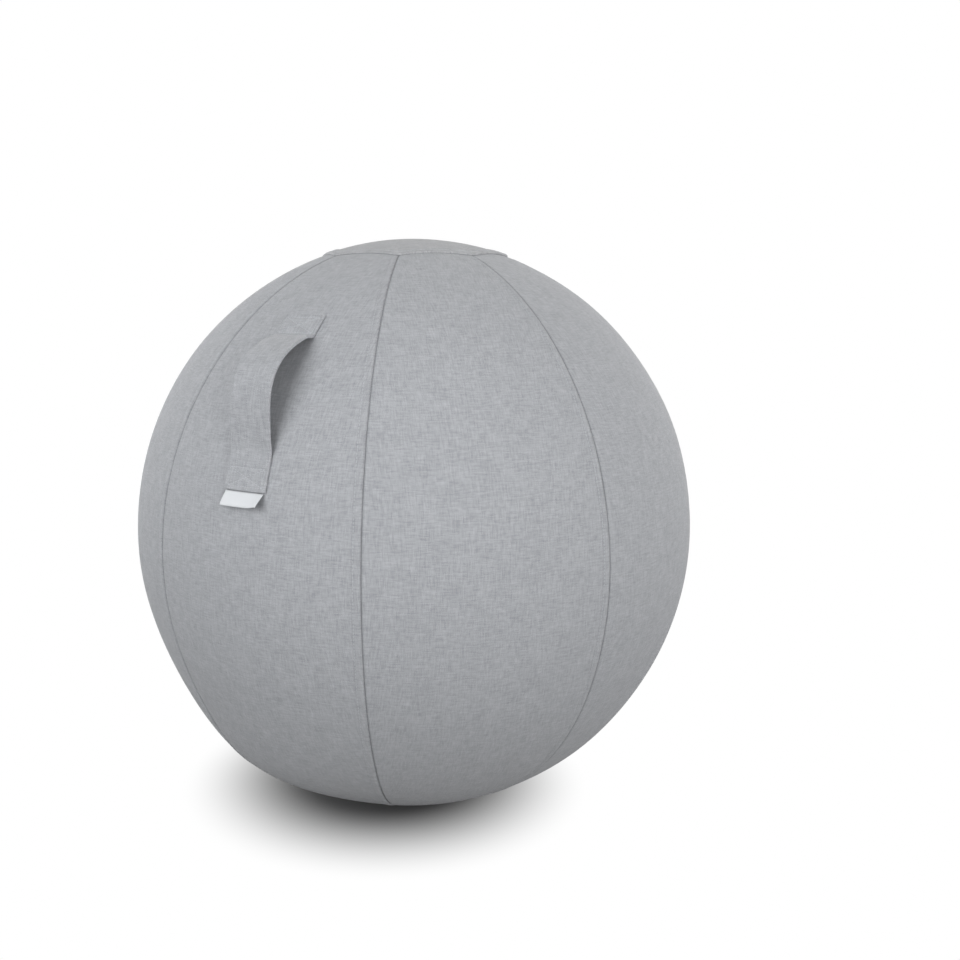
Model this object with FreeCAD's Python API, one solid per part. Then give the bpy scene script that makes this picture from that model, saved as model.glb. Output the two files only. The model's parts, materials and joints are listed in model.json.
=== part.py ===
import FreeCAD, Part
import math
import os

Vector = FreeCAD.Vector

# A balance ball chair: an air-filled ball in a fabric cover sewn from upright gores, with a carry
# handle on one gore. Millimetres and degrees. The origin is the centre of the flat spot that the
# ball settles on, +Z is up, and the handle is on the -Y side. A longitude is counted from the
# handle, east towards +X. The ball is a little taller than wide: each of its meridians is an arc
# whose centre, the pivot, lies beyond the upright axis, up to the round dome on top. A latitude is
# the slope of the surface's normal there, from level at the ball's middle. A radius is the half
# width of a layer of the ball.

# Driving dimensions

# The cover
ball_diameter = 650.0
ball_height = 664.0
contact_radius = 60.0
gore_count = 8
cover_thickness = 1.2
seam_allowance = 12.0
crease_width = 1.8
crease_depth = 0.6
topstitch_offset = 8.0
thread_width = 0.8
thread_height = 0.4
ply_gap = 0.1

# The eight-sided cap on top and the panel of the same cut below
cap_corner_radius = 112.0
cap_lap = 29.0
cap_margin = 3.0
hem_width = 12.0
hem_stitch_inset = 6.0

# The handle
handle_width = 50.0
handle_thickness = 2.6
handle_top_latitude = 48.0
handle_upper_sewn_length = 28.5
handle_free_length = 142.0
handle_lower_sewn_length = 26.0
handle_stand_off = 26.0
handle_crown_distance = 60.0
handle_running_gap = 0.4
handle_lower_fullness = 0.7
handle_profile_steps = 6
box_stitch_inset = 4.0
patch_margin = 5.0

# The blank tag under the handle
tag_width = 46.0
tag_drop = 16.0
tag_thickness = 0.8
tag_tilt = 22.0
tag_below_handle = 1.4
tag_clearance = 0.4

# The zip, on the seam that faces away from the handle
zip_seam_number = 4
zip_top_latitude = 14.0
zip_opening_length = 350.0
zip_opening_width = 10.4
tape_width = 14.0
tape_thickness = 0.6
tape_overrun = 10.0
tape_end_gap = 1.0
coil_width = 2.2
coil_height = 2.0
stop_overhang = 0.3
stop_length = 4.0
stop_setback = 2.0

# The zip's slider and pull
slider_length = 10.0
slider_plate_thickness = 0.6
slider_flange_thickness = 0.8
slider_clearance = 0.3
slider_post_thickness = 0.8
slider_post_length = 4.0
slider_end_gap = 0.5
bridge_width = 2.0
bridge_length = 7.6
bridge_thickness = 0.8
pull_bar_diameter = 1.2
pull_bar_play = 0.6
pull_length = 26.0
pull_width = 8.0
pull_shoulder_width = 5.6
pull_window_clearance = 0.9

# The ball inside
bladder_wall = 1.0
valve_longitude_offset = 10.0
valve_latitude = -5.0
valve_boss_radius = 11.0
valve_boss_length = 12.0
valve_hole_radius = 4.6
plug_clearance = 0.1
plug_head_radius = 8.0
plug_head_thickness = 1.2
plug_stem_length = 15.0
plug_tip_length = 4.0
plug_taper = 1.0

# The weighted ring that keeps the ball from rolling
ring_centre_radius = 158.0
ring_width = 80.0
ring_depth = 14.0
ring_casing_thickness = 1.2
ring_clearance = 0.3
ring_filling_gap = 0.1

# Sizes that follow from them

cover_radius = ball_diameter / 2
pivot_offset = ((ball_height / 2) ** 2 - cover_radius ** 2) / ball_diameter
cover_inner_radius = cover_radius - cover_thickness
cap_inner_radius = cover_radius + ply_gap
cap_outer_radius = cap_inner_radius + cover_thickness
hem_outer_radius = cap_outer_radius + cover_thickness
centre_height = math.sqrt((cap_outer_radius + pivot_offset) ** 2
                          - (contact_radius + pivot_offset) ** 2)
centre = Vector(0, 0, centre_height)
pivot = centre + Vector(0, pivot_offset, 0)

gore_angle = 360.0 / gore_count
seam_longitudes = [(number + 0.5) * gore_angle for number in range(gore_count)]
allowance_outer_radius = cover_inner_radius - ply_gap
allowance_inner_radius = cover_inner_radius - cover_thickness

tape_outer_radius = cover_inner_radius - ply_gap
tape_inner_radius = tape_outer_radius - tape_thickness
slider_floor_outer = tape_inner_radius - slider_clearance
slider_floor_inner = slider_floor_outer - slider_plate_thickness
coil_outer_radius = tape_outer_radius + coil_height
slider_roof_inner = coil_outer_radius + slider_clearance
slider_roof_outer = slider_roof_inner + slider_plate_thickness
bladder_radius = min(slider_floor_inner, allowance_inner_radius) - slider_clearance

zip_longitude = seam_longitudes[zip_seam_number]
coil_start = slider_post_thickness / 2 + slider_clearance


def arc_angle(length, radius=cover_radius):
    """The angle that a length along a meridian of a layer spans."""
    return math.degrees(length / (radius + pivot_offset))


def latitude_at(distance, radius):
    """The latitude at which a layer's surface lies some distance from the upright axis."""
    return math.degrees(math.acos((distance + pivot_offset) / (radius + pivot_offset)))


def along(latitude, length):
    """The latitude that lies a length further down the cover."""
    return latitude - arc_angle(length)


cap_flat_radius = cap_corner_radius * math.cos(math.radians(gore_angle / 2))
cap_corner_latitude = latitude_at(cap_corner_radius, cover_radius)
gore_end_latitude = cap_corner_latitude + arc_angle(cap_lap)
dome_latitude = (cap_corner_latitude + gore_end_latitude) / 2
dome_hub = centre + Vector(0, 0, pivot_offset * math.tan(math.radians(dome_latitude)))
handle_upper_fold = along(handle_top_latitude, handle_upper_sewn_length)
handle_lower_fold = along(handle_upper_fold, handle_free_length)
handle_end_latitude = along(handle_lower_fold, handle_lower_sewn_length)
handle_crown_latitude = along(handle_upper_fold, handle_crown_distance)
handle_outer_radius = cap_inner_radius + handle_thickness

coil_top = along(zip_top_latitude, stop_setback + stop_length)
coil_bottom = along(zip_top_latitude, zip_opening_length - stop_setback - stop_length)
slider_top = along(coil_top, slider_end_gap)
slider_bottom = along(slider_top, slider_length)
slider_latitude = (slider_top + slider_bottom) / 2
slider_travel = slider_bottom - coil_bottom - arc_angle(slider_end_gap)


def point(longitude, latitude, radius):
    """The point of a layer at a longitude and a latitude."""
    east = math.radians(longitude)
    north = math.radians(latitude)
    reach = radius + pivot_offset
    level = reach * math.cos(north) - pivot_offset
    return centre + Vector(math.sin(east) * level, -math.cos(east) * level,
                           reach * math.sin(north))


def turned(shape, longitude):
    """The shape, turned about the ball's upright axis from the handle to a longitude."""
    result = shape.copy()
    result.rotate(centre, Vector(0, 0, 1), longitude)
    return result


def seated(shape, latitude, longitude=0.0):
    """A shape drawn with X across, Y up the cover and Z outward, taken to its place on the ball."""
    result = shape.copy()
    result.translate(Vector(0, 0, pivot_offset))
    result.rotate(Vector(0, 0, 0), Vector(1, 0, 0), 90 - latitude)
    result.translate(pivot)
    return turned(result, longitude)


def fused(shapes):
    """One solid out of several that overlap."""
    return shapes[0].multiFuse(shapes[1:]).removeSplitter()


def band(inner, outer, west, east, south, north, longitude=0.0):
    """A strip of shell up a meridian, between two layers, two offsets across and two latitudes."""
    def rim(offset, radius):
        return centre + Vector(offset, -math.sqrt(radius ** 2 - offset ** 2), 0)

    middle = (west + east) / 2
    outline = Part.Wire([
        Part.Arc(rim(west, outer), rim(middle, outer), rim(east, outer)).toShape(),
        Part.LineSegment(rim(east, outer), rim(east, inner)).toShape(),
        Part.Arc(rim(east, inner), rim(middle, inner), rim(west, inner)).toShape(),
        Part.LineSegment(rim(west, inner), rim(west, outer)).toShape()])
    section = Part.Face(outline)
    section.rotate(pivot, Vector(-1, 0, 0), south)
    strip = section.revolve(pivot, Vector(-1, 0, 0), north - south)
    return turned(strip, longitude)


def shell_sector(inner, outer, south, north, west, east):
    """A piece of shell between two layers, two latitudes and two longitudes."""
    middle = (south + north) / 2
    outline = Part.Wire([
        Part.Arc(point(west, south, outer), point(west, middle, outer),
                 point(west, north, outer)).toShape(),
        Part.LineSegment(point(west, north, outer), point(west, north, inner)).toShape(),
        Part.Arc(point(west, north, inner), point(west, middle, inner),
                 point(west, south, inner)).toShape(),
        Part.LineSegment(point(west, south, inner), point(west, south, outer)).toShape()])
    return Part.Face(outline).revolve(centre, Vector(0, 0, 1), east - west)


def dome_reach(radius):
    """The distance of a layer on the dome from the dome's own hub."""
    return radius + pivot_offset - pivot_offset / math.cos(math.radians(dome_latitude))


def dome_point(latitude, radius):
    """The point of a layer on the dome, in the upright section."""
    reach = dome_reach(radius)
    return dome_hub + Vector(reach * math.cos(math.radians(latitude)), 0,
                             reach * math.sin(math.radians(latitude)))


def crown_shell(inner, outer, south):
    """The shell between two layers from a latitude up to the upright axis, all the way round."""
    middle = (south + 90) / 2
    outline = Part.Wire([
        Part.Arc(dome_point(south, outer), dome_point(middle, outer),
                 dome_point(90, outer)).toShape(),
        Part.LineSegment(dome_point(90, outer), dome_point(90, inner)).toShape(),
        Part.Arc(dome_point(90, inner), dome_point(middle, inner),
                 dome_point(south, inner)).toShape(),
        Part.LineSegment(dome_point(south, inner), dome_point(south, outer)).toShape()])
    return Part.Face(outline).revolve(centre, Vector(0, 0, 1), 360)


def thread(start, finish, hub):
    """A run of thread over a surface that curves about a hub, just short of its two ends."""
    first = start - hub
    second = finish - hub
    radius = first.Length
    axis = first.cross(second).normalize()
    outward = (start - hub).normalize()
    side = axis * (thread_width / 2)
    crown = start + outward * thread_height
    section = Part.Face(Part.Wire([
        Part.Arc(start + side, crown, start - side).toShape(),
        Part.LineSegment(start - side, start + side).toShape()]))
    trim = math.degrees(thread_width / radius)
    section.rotate(hub, axis, trim)
    return section.revolve(hub, axis, math.degrees(first.getAngle(second)) - 2 * trim)


def eight_sided_prism(flat_radius):
    """An upright prism through the ball, with a corner over each seam."""
    corner_radius = flat_radius / math.cos(math.radians(gore_angle / 2))
    corners = []
    for longitude in seam_longitudes:
        corner = point(longitude, 0, corner_radius)
        corners.append(Vector(corner.x, corner.y, 0))
    outline = Part.makePolygon(corners + corners[:1])
    return Part.Face(outline).extrude(Vector(0, 0, 2 * cover_radius + centre_height))


# The gores and their stitching

def crease(longitude):
    """The shallow groove that the thread draws along a seam."""
    half = crease_width / 2
    top = cover_radius + ply_gap
    section = Part.Face(Part.makePolygon([
        centre + Vector(-half, -top, 0),
        centre + Vector(half, -top, 0),
        centre + Vector(0, crease_depth - cover_radius, 0),
        centre + Vector(-half, -top, 0)]))
    section.rotate(pivot, Vector(1, 0, 0), gore_end_latitude)
    groove = section.revolve(pivot, Vector(-1, 0, 0), 2 * gore_end_latitude)
    return turned(groove, longitude)


def seam_spans(number, reach):
    """The latitudes between which a seam is sewn shut: all of it, or what the zip leaves."""
    if number != zip_seam_number:
        return [(-reach, reach)]
    zip_foot = along(zip_top_latitude, zip_opening_length + tape_overrun)
    zip_head = along(zip_top_latitude, -tape_overrun)
    return [(-reach, zip_foot), (zip_head, reach)]


def zip_slot():
    """The opening between the two folded edges beside the zip."""
    foot = along(zip_top_latitude, zip_opening_length)
    half = zip_opening_width / 2
    return band(allowance_inner_radius - cover_thickness, hem_outer_radius, -half, half,
                foot, zip_top_latitude, zip_longitude)


def gore_panel(number):
    """One gore, with the allowance on its west edge that is folded under the gore beside it."""
    middle = number * gore_angle
    west = middle - gore_angle / 2
    east = middle + gore_angle / 2
    west_seam = (number - 1) % gore_count
    panel = shell_sector(cover_inner_radius, cover_radius, -gore_end_latitude,
                         gore_end_latitude, west, east)
    panel = panel.cut(crease(west)).cut(crease(east))
    if zip_seam_number in (west_seam, number):
        panel = panel.cut(zip_slot())
    pieces = [panel]
    bite = cover_thickness / 4
    for south, north in seam_spans(west_seam, gore_end_latitude - arc_angle(seam_allowance / 2)):
        pieces.append(band(allowance_inner_radius, allowance_outer_radius,
                           -seam_allowance, cover_thickness, south, north, west))
        pieces.append(band(allowance_outer_radius - bite, cover_inner_radius + bite,
                           bite, cover_thickness, south, north, west))
    return fused(pieces)


def seam_topstitch(number):
    """The row of stitches that holds a seam's allowance down, west of the seam."""
    half = thread_width / 2
    foot = cover_radius + ply_gap
    rows = []
    for south, north in seam_spans(number, cap_corner_latitude):
        rows.append(band(foot, foot + thread_height, -topstitch_offset - half,
                         -topstitch_offset + half, south, north, seam_longitudes[number]))
    return Part.makeCompound(rows)


# The cap and the base panel

def hem_ring(inner, outer):
    """The folded edge of the cap, as wide as the hem and eight-sided."""
    region = crown_shell(inner, outer, cap_corner_latitude - cap_margin)
    ring = region.common(eight_sided_prism(cap_flat_radius))
    return ring.cut(eight_sided_prism(cap_flat_radius - hem_width))


def top_cap():
    """The cap over the gores' upper ends."""
    dome = crown_shell(cap_inner_radius, cap_outer_radius, cap_corner_latitude - cap_margin)
    dome = dome.common(eight_sided_prism(cap_flat_radius))
    return fused([dome, hem_ring(cap_outer_radius - ply_gap, hem_outer_radius)])


def base_panel():
    """The cap's counterpart below, pressed flat where the ball stands."""
    panel = mirrored(top_cap())
    below = Part.makeCylinder(2 * cap_corner_radius, centre_height, Vector(0, 0, -centre_height))
    flat = Part.makeCylinder(contact_radius, cover_thickness)
    return fused([panel.cut(below), flat])


def hem_stitching():
    """The stitches round the cap, one straight run to each of its sides."""
    corner_radius = cap_corner_radius - hem_stitch_inset / math.cos(math.radians(gore_angle / 2))
    layer = hem_outer_radius + ply_gap
    latitude = math.degrees(math.acos(corner_radius / dome_reach(layer)))
    corners = []
    for longitude in seam_longitudes:
        corner = Part.Vertex(dome_point(latitude, layer))
        corner.rotate(centre, Vector(0, 0, 1), longitude)
        corners.append(corner.Point)
    runs = []
    for place, corner in enumerate(corners):
        runs.append(thread(corners[place - 1], corner, dome_hub))
    return Part.makeCompound(runs)


def mirrored(shape):
    """The shape's counterpart on the lower half of the ball."""
    return shape.mirror(centre, Vector(0, 0, 1))


# The handle

def handle_sewn_end(north, south):
    """An end of the strap, lying on the cover."""
    half = handle_width / 2
    return band(cap_inner_radius, handle_outer_radius, -half, half, south, north)


def stand_off(latitude):
    """How far the slack strap stands off the cover: steep above its crown, tapering below."""
    if latitude >= handle_crown_latitude:
        share = (handle_upper_fold - latitude) / (handle_upper_fold - handle_crown_latitude)
        return handle_stand_off * math.sin(math.radians(90 * share))
    share = (handle_crown_latitude - latitude) / (handle_crown_latitude - handle_lower_fold)
    fall = 0.5 + 0.5 * math.cos(math.radians(180 * share))
    return handle_stand_off * max(fall, 0.0) ** handle_lower_fullness


def handle_loop():
    """The strap's slack middle, which a hand reaches under."""
    top = handle_upper_fold - arc_angle(handle_running_gap)
    foot = handle_lower_fold + arc_angle(handle_running_gap)
    latitudes = []
    for start, finish in ((top, handle_crown_latitude), (handle_crown_latitude, foot)):
        step = (finish - start) / handle_profile_steps
        latitudes += [start + step * turn for turn in range(handle_profile_steps)]
    latitudes.append(foot)

    base_radius = cover_radius + handle_running_gap
    under = [point(0, latitude, base_radius + stand_off(latitude)) for latitude in latitudes]
    over = []
    last = len(under) - 1
    for place, spot in enumerate(under):
        run = under[min(place + 1, last)] - under[max(place - 1, 0)]
        outward = Vector(0, run.z, -run.y).normalize()
        if place in (0, last):
            outward = (spot - pivot).normalize()
        over.append(spot + outward * handle_thickness)

    inner = Part.BSplineCurve()
    inner.interpolate(under)
    outer = Part.BSplineCurve()
    outer.interpolate(over[::-1])
    outline = Part.Wire([
        inner.toShape(),
        Part.LineSegment(under[-1], over[-1]).toShape(),
        outer.toShape(),
        Part.LineSegment(over[0], under[0]).toShape()])
    strap = Part.Face(outline).extrude(Vector(handle_width, 0, 0))
    strap.translate(Vector(-handle_width / 2, 0, 0))
    return strap


def box_stitching(north, south):
    """A rectangle of stitches with a cross in it, which sews an end of the strap down."""
    inset = arc_angle(box_stitch_inset)
    top = north - inset
    foot = south + inset
    half_width = handle_width / 2 - box_stitch_inset
    layer = handle_outer_radius + ply_gap

    def corner(side, latitude):
        level = math.hypot(*point(0, latitude, layer)[:2])
        return point(math.degrees(math.asin(side * half_width / level)), latitude, layer)

    corners = [corner(-1, top), corner(1, top), corner(1, foot), corner(-1, foot)]
    crossing = point(0, (top + foot) / 2, layer)
    runs = []
    for place, spot in enumerate(corners):
        runs.append(thread(corners[place - 1], spot, pivot))
        runs.append(thread(crossing, spot, pivot))
    return Part.makeCompound(runs)


def reinforcement(north, south):
    """The patch inside the cover that takes the pull of a sewn end."""
    half = handle_width / 2 + patch_margin
    margin = arc_angle(patch_margin)
    return band(allowance_inner_radius, allowance_outer_radius, -half, half,
                south - margin, north + margin)


def tag():
    """The blank tag, folded from ribbon and sewn in under the strap's lower end."""
    plate = Part.makeBox(tag_width, tag_drop, tag_thickness,
                         Vector(-tag_width / 2, -tag_drop, -tag_thickness / 2))
    knuckle = Part.makeCylinder(tag_thickness / 2, tag_width,
                                Vector(-tag_width / 2, 0, 0), Vector(1, 0, 0))
    folded = fused([plate, knuckle])
    folded.rotate(Vector(0, 0, 0), Vector(1, 0, 0), -tag_tilt)
    folded.translate(Vector(0, 0, cover_radius + tag_clearance + tag_thickness / 2))
    return seated(folded, along(handle_end_latitude, tag_below_handle))


# The zip

def zip_tape(side):
    """One woven tape, under the fold of a gore."""
    edges = sorted((side * coil_start, side * tape_width))
    foot = along(zip_top_latitude, zip_opening_length + tape_overrun - tape_end_gap)
    head = along(zip_top_latitude, tape_end_gap - tape_overrun)
    return band(tape_inner_radius, tape_outer_radius, edges[0], edges[1], foot, head,
                zip_longitude)


def zip_coil(side):
    """One half of the zip's teeth, on the inner edge of its tape."""
    edges = sorted((side * coil_start, side * (coil_start + coil_width)))
    return band(tape_outer_radius, coil_outer_radius, edges[0], edges[1],
                coil_bottom, coil_top, zip_longitude)


def zip_top_stops():
    """The two clips that stop the slider above, one on each half of the teeth."""
    width = coil_start + coil_width + stop_overhang
    height = coil_outer_radius + stop_overhang
    foot = coil_top
    head = along(foot, -stop_length)
    west = band(tape_outer_radius, height, -width, -coil_start, foot, head, zip_longitude)
    east = band(tape_outer_radius, height, coil_start, width, foot, head, zip_longitude)
    return Part.makeCompound([west, east])


def zip_bottom_stop():
    """The one clip across both halves that stops the slider below."""
    width = coil_start + coil_width + stop_overhang
    height = coil_outer_radius + stop_overhang
    foot = along(coil_bottom, stop_length)
    return band(tape_outer_radius, height, -width, width, foot, coil_bottom, zip_longitude)


def zip_slider():
    """The slider: a roof and a floor round the teeth, two flanges and the post between them."""
    half = coil_start + coil_width + slider_clearance + slider_flange_thickness
    flange_inner = half - slider_flange_thickness
    flange_foot = tape_outer_radius + slider_clearance
    post_half = slider_post_thickness / 2
    post_bottom = along(slider_top, slider_post_length)
    overlap = slider_plate_thickness / 2
    roof = band(slider_roof_inner, slider_roof_outer, -half, half, slider_bottom, slider_top)
    floor = band(slider_floor_inner, slider_floor_outer, -half, half, slider_bottom, slider_top)
    post = band(slider_floor_outer - overlap, slider_roof_inner + overlap, -post_half, post_half,
                post_bottom, slider_top)
    west = band(flange_foot, slider_roof_inner + overlap, -half, -flange_inner,
                slider_bottom, slider_top)
    east = band(flange_foot, slider_roof_inner + overlap, flange_inner, half,
                slider_bottom, slider_top)
    return turned(fused([roof, floor, post, west, east]), zip_longitude)


pull_bar_radius = pull_bar_diameter / 2
pull_axis_radius = slider_roof_outer + pull_bar_play + pull_bar_radius
bridge_inner_height = 2 * (pull_bar_play + pull_bar_radius)
edge_tolerance = 0.01


def zip_bridge():
    """The arch on the slider's roof that carries the pull."""
    length = bridge_length
    height = bridge_inner_height + bridge_thickness
    outer = Part.makeBox(bridge_width, length, height,
                         Vector(-bridge_width / 2, -length / 2, slider_roof_outer))
    crown_edges = [edge for edge in outer.Edges
                   if abs(edge.CenterOfMass.z - slider_roof_outer - height) < edge_tolerance
                   and abs(abs(edge.CenterOfMass.y) - length / 2) < edge_tolerance]
    outer = outer.makeFillet(bridge_thickness, crown_edges)
    window_length = length - 2 * bridge_thickness
    window = Part.makeBox(2 * bridge_width, window_length, bridge_inner_height,
                          Vector(-bridge_width, -window_length / 2, slider_roof_outer))
    return seated(outer.cut(window), slider_latitude, zip_longitude)


def zip_pull():
    """The pull: a flat tab on a round bar that turns in the bridge."""
    shoulder = pull_shoulder_width / 2
    half = pull_width / 2
    foot = -pull_length + half
    outline = Part.Wire([
        Part.LineSegment(Vector(-shoulder, 0, 0), Vector(shoulder, 0, 0)).toShape(),
        Part.LineSegment(Vector(shoulder, 0, 0), Vector(half, foot, 0)).toShape(),
        Part.Arc(Vector(half, foot, 0), Vector(0, -pull_length, 0),
                 Vector(-half, foot, 0)).toShape(),
        Part.LineSegment(Vector(-half, foot, 0), Vector(-shoulder, 0, 0)).toShape()])
    tab = Part.Face(outline).extrude(Vector(0, 0, pull_bar_diameter))
    tab.translate(Vector(0, 0, -pull_bar_radius))
    bar = Part.makeCylinder(pull_bar_radius, pull_shoulder_width,
                            Vector(-shoulder, 0, 0), Vector(1, 0, 0))
    window_half = bridge_width / 2 + pull_window_clearance / 2
    bridge_reach = math.hypot(bridge_length / 2, pull_bar_play + pull_bar_radius + bridge_thickness)
    window_depth = bridge_reach + pull_window_clearance
    window = Part.makeBox(2 * window_half, window_depth, 2 * pull_bar_diameter,
                          Vector(-window_half, -window_depth, -pull_bar_diameter))
    pull = fused([tab.cut(window), bar])
    pull.translate(Vector(0, 0, pull_axis_radius))
    return seated(pull, slider_latitude, zip_longitude)


def zip_stitching():
    """The two rows of stitches that hold the tapes to the folded edges."""
    half = thread_width / 2
    layer = cover_radius + ply_gap
    foot = along(zip_top_latitude, zip_opening_length)
    offset = (zip_opening_width / 2 + tape_width) / 2
    rows = []
    for side in (-1, 1):
        rows.append(band(layer, layer + thread_height, side * offset - half,
                         side * offset + half, foot, zip_top_latitude, zip_longitude))
    return Part.makeCompound(rows)


# The weighted ring and the ball

def below(latitude, radius):
    """A point of the upright section, at a latitude below the ball's middle."""
    return point(90, -latitude, radius)


def ring_section():
    """The ring's section: the cover's curve outside and a shallower bulge towards the ball."""
    outer = allowance_inner_radius - ring_clearance
    middle = latitude_at(ring_centre_radius, outer)
    half = arc_angle(ring_width / 2, outer)
    upper = below(middle - half, outer)
    lower = below(middle + half, outer)
    return Part.Face(Part.Wire([
        Part.Arc(upper, below(middle, outer), lower).toShape(),
        Part.Arc(lower, below(middle, outer - ring_depth), upper).toShape()]))


def spun(section):
    """A section turned once round the ball's upright axis, in quarters."""
    quarter = section.revolve(centre, Vector(0, 0, 1), 90)
    others = [turned(quarter, 90 * turn) for turn in (1, 2, 3)]
    return quarter.multiFuse(others)


def ring_casing():
    """The fabric tube that holds the ring's filling."""
    section = ring_section()
    return spun(section).cut(spun(section.makeOffset2D(-ring_casing_thickness)))


def ring_filling():
    """The loose grains in the ring, as one body."""
    return spun(ring_section().makeOffset2D(-ring_casing_thickness - ring_filling_gap))


def ball_body(radius, ring_gap, floor):
    """The ball as a solid of some radius: dented by the ring and flat where it stands."""
    shoulder = below(-dome_latitude, radius)
    crown = dome_point(90, radius)
    foot = below(latitude_at(0, radius), radius)
    outline = Part.Wire([
        Part.Arc(foot, below(0, radius), shoulder).toShape(),
        Part.Arc(shoulder, dome_point((dome_latitude + 90) / 2, radius), crown).toShape(),
        Part.LineSegment(crown, foot).toShape()])
    under_floor = Part.makePlane(centre_height, radius, Vector(0, 0, floor), Vector(0, -1, 0))
    section = Part.Face(outline).cut(ring_section().makeOffset2D(ring_gap)).cut(under_floor)
    return spun(max(section.Faces, key=lambda face: face.Area))


def inner_ball():
    """The air-filled ball, hollow, with the thick boss that its valve plug seals."""
    floor = cover_thickness + ply_gap
    skin = ball_body(bladder_radius, ring_clearance, floor)
    hollow = ball_body(bladder_radius - bladder_wall, ring_clearance + bladder_wall,
                       floor + bladder_wall)
    boss_top = bladder_radius - bladder_wall / 2
    boss = Part.makeCylinder(valve_boss_radius, valve_boss_length,
                             Vector(0, 0, boss_top - valve_boss_length))
    hole = Part.makeCylinder(valve_hole_radius, 3 * valve_boss_length,
                             Vector(0, 0, boss_top - 2 * valve_boss_length))
    longitude = zip_longitude + valve_longitude_offset
    shell = skin.cut(hollow)
    shell = shell.fuse(seated(boss, valve_latitude, longitude))
    return shell.cut(seated(hole, valve_latitude, longitude))


def valve_plug():
    """The plug: a flat head on the ball and a tapered stem in the boss."""
    stem_radius = valve_hole_radius - plug_clearance
    straight = plug_stem_length - plug_tip_length
    head = Part.makeCylinder(plug_head_radius, plug_head_thickness, Vector(0, 0, bladder_radius))
    stem = Part.makeCylinder(stem_radius, straight, Vector(0, 0, bladder_radius - straight))
    tip = Part.makeCone(stem_radius - plug_taper, stem_radius, plug_tip_length,
                        Vector(0, 0, bladder_radius - plug_stem_length))
    plug = fused([head, stem, tip])
    return seated(plug, valve_latitude, zip_longitude + valve_longitude_offset)


def write_parts():
    """Every piece in a file of its own."""
    pieces = {}
    for number in range(gore_count):
        pieces["gore_panel_%d" % (number + 1)] = gore_panel(number)
        pieces["seam_topstitch_%d" % (number + 1)] = seam_topstitch(number)
    pieces["top_cap"] = top_cap()
    pieces["top_cap_stitching"] = hem_stitching()
    pieces["base_panel"] = base_panel()
    pieces["base_panel_stitching"] = mirrored(hem_stitching())

    upper = (handle_top_latitude, handle_upper_fold)
    lower = (handle_lower_fold, handle_end_latitude)
    pieces["handle_upper_end"] = handle_sewn_end(*upper)
    pieces["handle_loop"] = handle_loop()
    pieces["handle_lower_end"] = handle_sewn_end(*lower)
    pieces["handle_upper_stitching"] = box_stitching(*upper)
    pieces["handle_lower_stitching"] = box_stitching(*lower)
    pieces["handle_upper_reinforcement"] = reinforcement(*upper)
    pieces["handle_lower_reinforcement"] = reinforcement(*lower)
    pieces["blank_tag"] = tag()

    pieces["zip_tape_west"] = zip_tape(-1)
    pieces["zip_tape_east"] = zip_tape(1)
    pieces["zip_coil_west"] = zip_coil(-1)
    pieces["zip_coil_east"] = zip_coil(1)
    pieces["zip_top_stops"] = zip_top_stops()
    pieces["zip_bottom_stop"] = zip_bottom_stop()
    pieces["zip_stitching"] = zip_stitching()
    pieces["zip_slider_body"] = zip_slider()
    pieces["zip_slider_bridge"] = zip_bridge()
    pieces["zip_pull"] = zip_pull()

    pieces["weight_ring_casing"] = ring_casing()
    pieces["weight_ring_filling"] = ring_filling()
    pieces["inner_ball"] = inner_ball()
    pieces["valve_plug"] = valve_plug()

    os.makedirs("parts", exist_ok=True)
    for name, shape in pieces.items():
        print(name, len(shape.Solids), "solids,", round(shape.Volume / 1000, 2), "cm3,",
              "valid" if shape.isValid() else "NOT VALID")
        shape.exportStep(os.path.join("parts", name + ".step"))
    print("ball centre at", round(centre_height, 3), "slider travel", round(slider_travel, 3),
          "slider latitude", round(slider_latitude, 3), "pull axis", round(pull_axis_radius, 3),
          "pivot offset", round(pivot_offset, 3))


write_parts()
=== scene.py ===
import functools
import json
import math

import bmesh
import bpy
from mathutils import Matrix, Vector, noise


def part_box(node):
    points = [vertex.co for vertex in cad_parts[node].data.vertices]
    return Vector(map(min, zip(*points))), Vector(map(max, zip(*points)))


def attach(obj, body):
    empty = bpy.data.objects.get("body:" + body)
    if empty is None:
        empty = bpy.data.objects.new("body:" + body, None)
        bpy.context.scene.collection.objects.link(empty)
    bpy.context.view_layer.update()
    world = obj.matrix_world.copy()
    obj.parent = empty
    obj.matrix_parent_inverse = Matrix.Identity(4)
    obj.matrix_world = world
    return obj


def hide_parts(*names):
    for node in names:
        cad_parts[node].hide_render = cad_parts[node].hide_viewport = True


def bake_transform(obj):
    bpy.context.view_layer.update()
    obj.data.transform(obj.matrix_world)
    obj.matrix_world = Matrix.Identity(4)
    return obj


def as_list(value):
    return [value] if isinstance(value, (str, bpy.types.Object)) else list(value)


bl_info = {
    "name": "Balance ball chair",
    "version": (1, 0, 0),
    "blender": (4, 5, 0),
    "location": "View3D > Sidebar > Sitting ball",
    "description": "Fabric cover, handle, tag and zip of a sitting ball, round its packed frame",
    "category": "Object",
}

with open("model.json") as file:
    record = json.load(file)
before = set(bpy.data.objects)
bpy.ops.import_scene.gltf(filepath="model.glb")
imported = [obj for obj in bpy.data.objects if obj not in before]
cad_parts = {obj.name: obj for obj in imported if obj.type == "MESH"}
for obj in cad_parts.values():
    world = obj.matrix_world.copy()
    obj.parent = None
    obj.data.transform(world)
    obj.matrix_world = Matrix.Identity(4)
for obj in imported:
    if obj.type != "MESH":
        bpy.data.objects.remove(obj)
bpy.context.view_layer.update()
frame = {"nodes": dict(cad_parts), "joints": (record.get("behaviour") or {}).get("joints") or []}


def joint(name):
    """One of the frame's joints."""
    return next(each for each in frame["joints"] if each["name"] == name)


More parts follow.
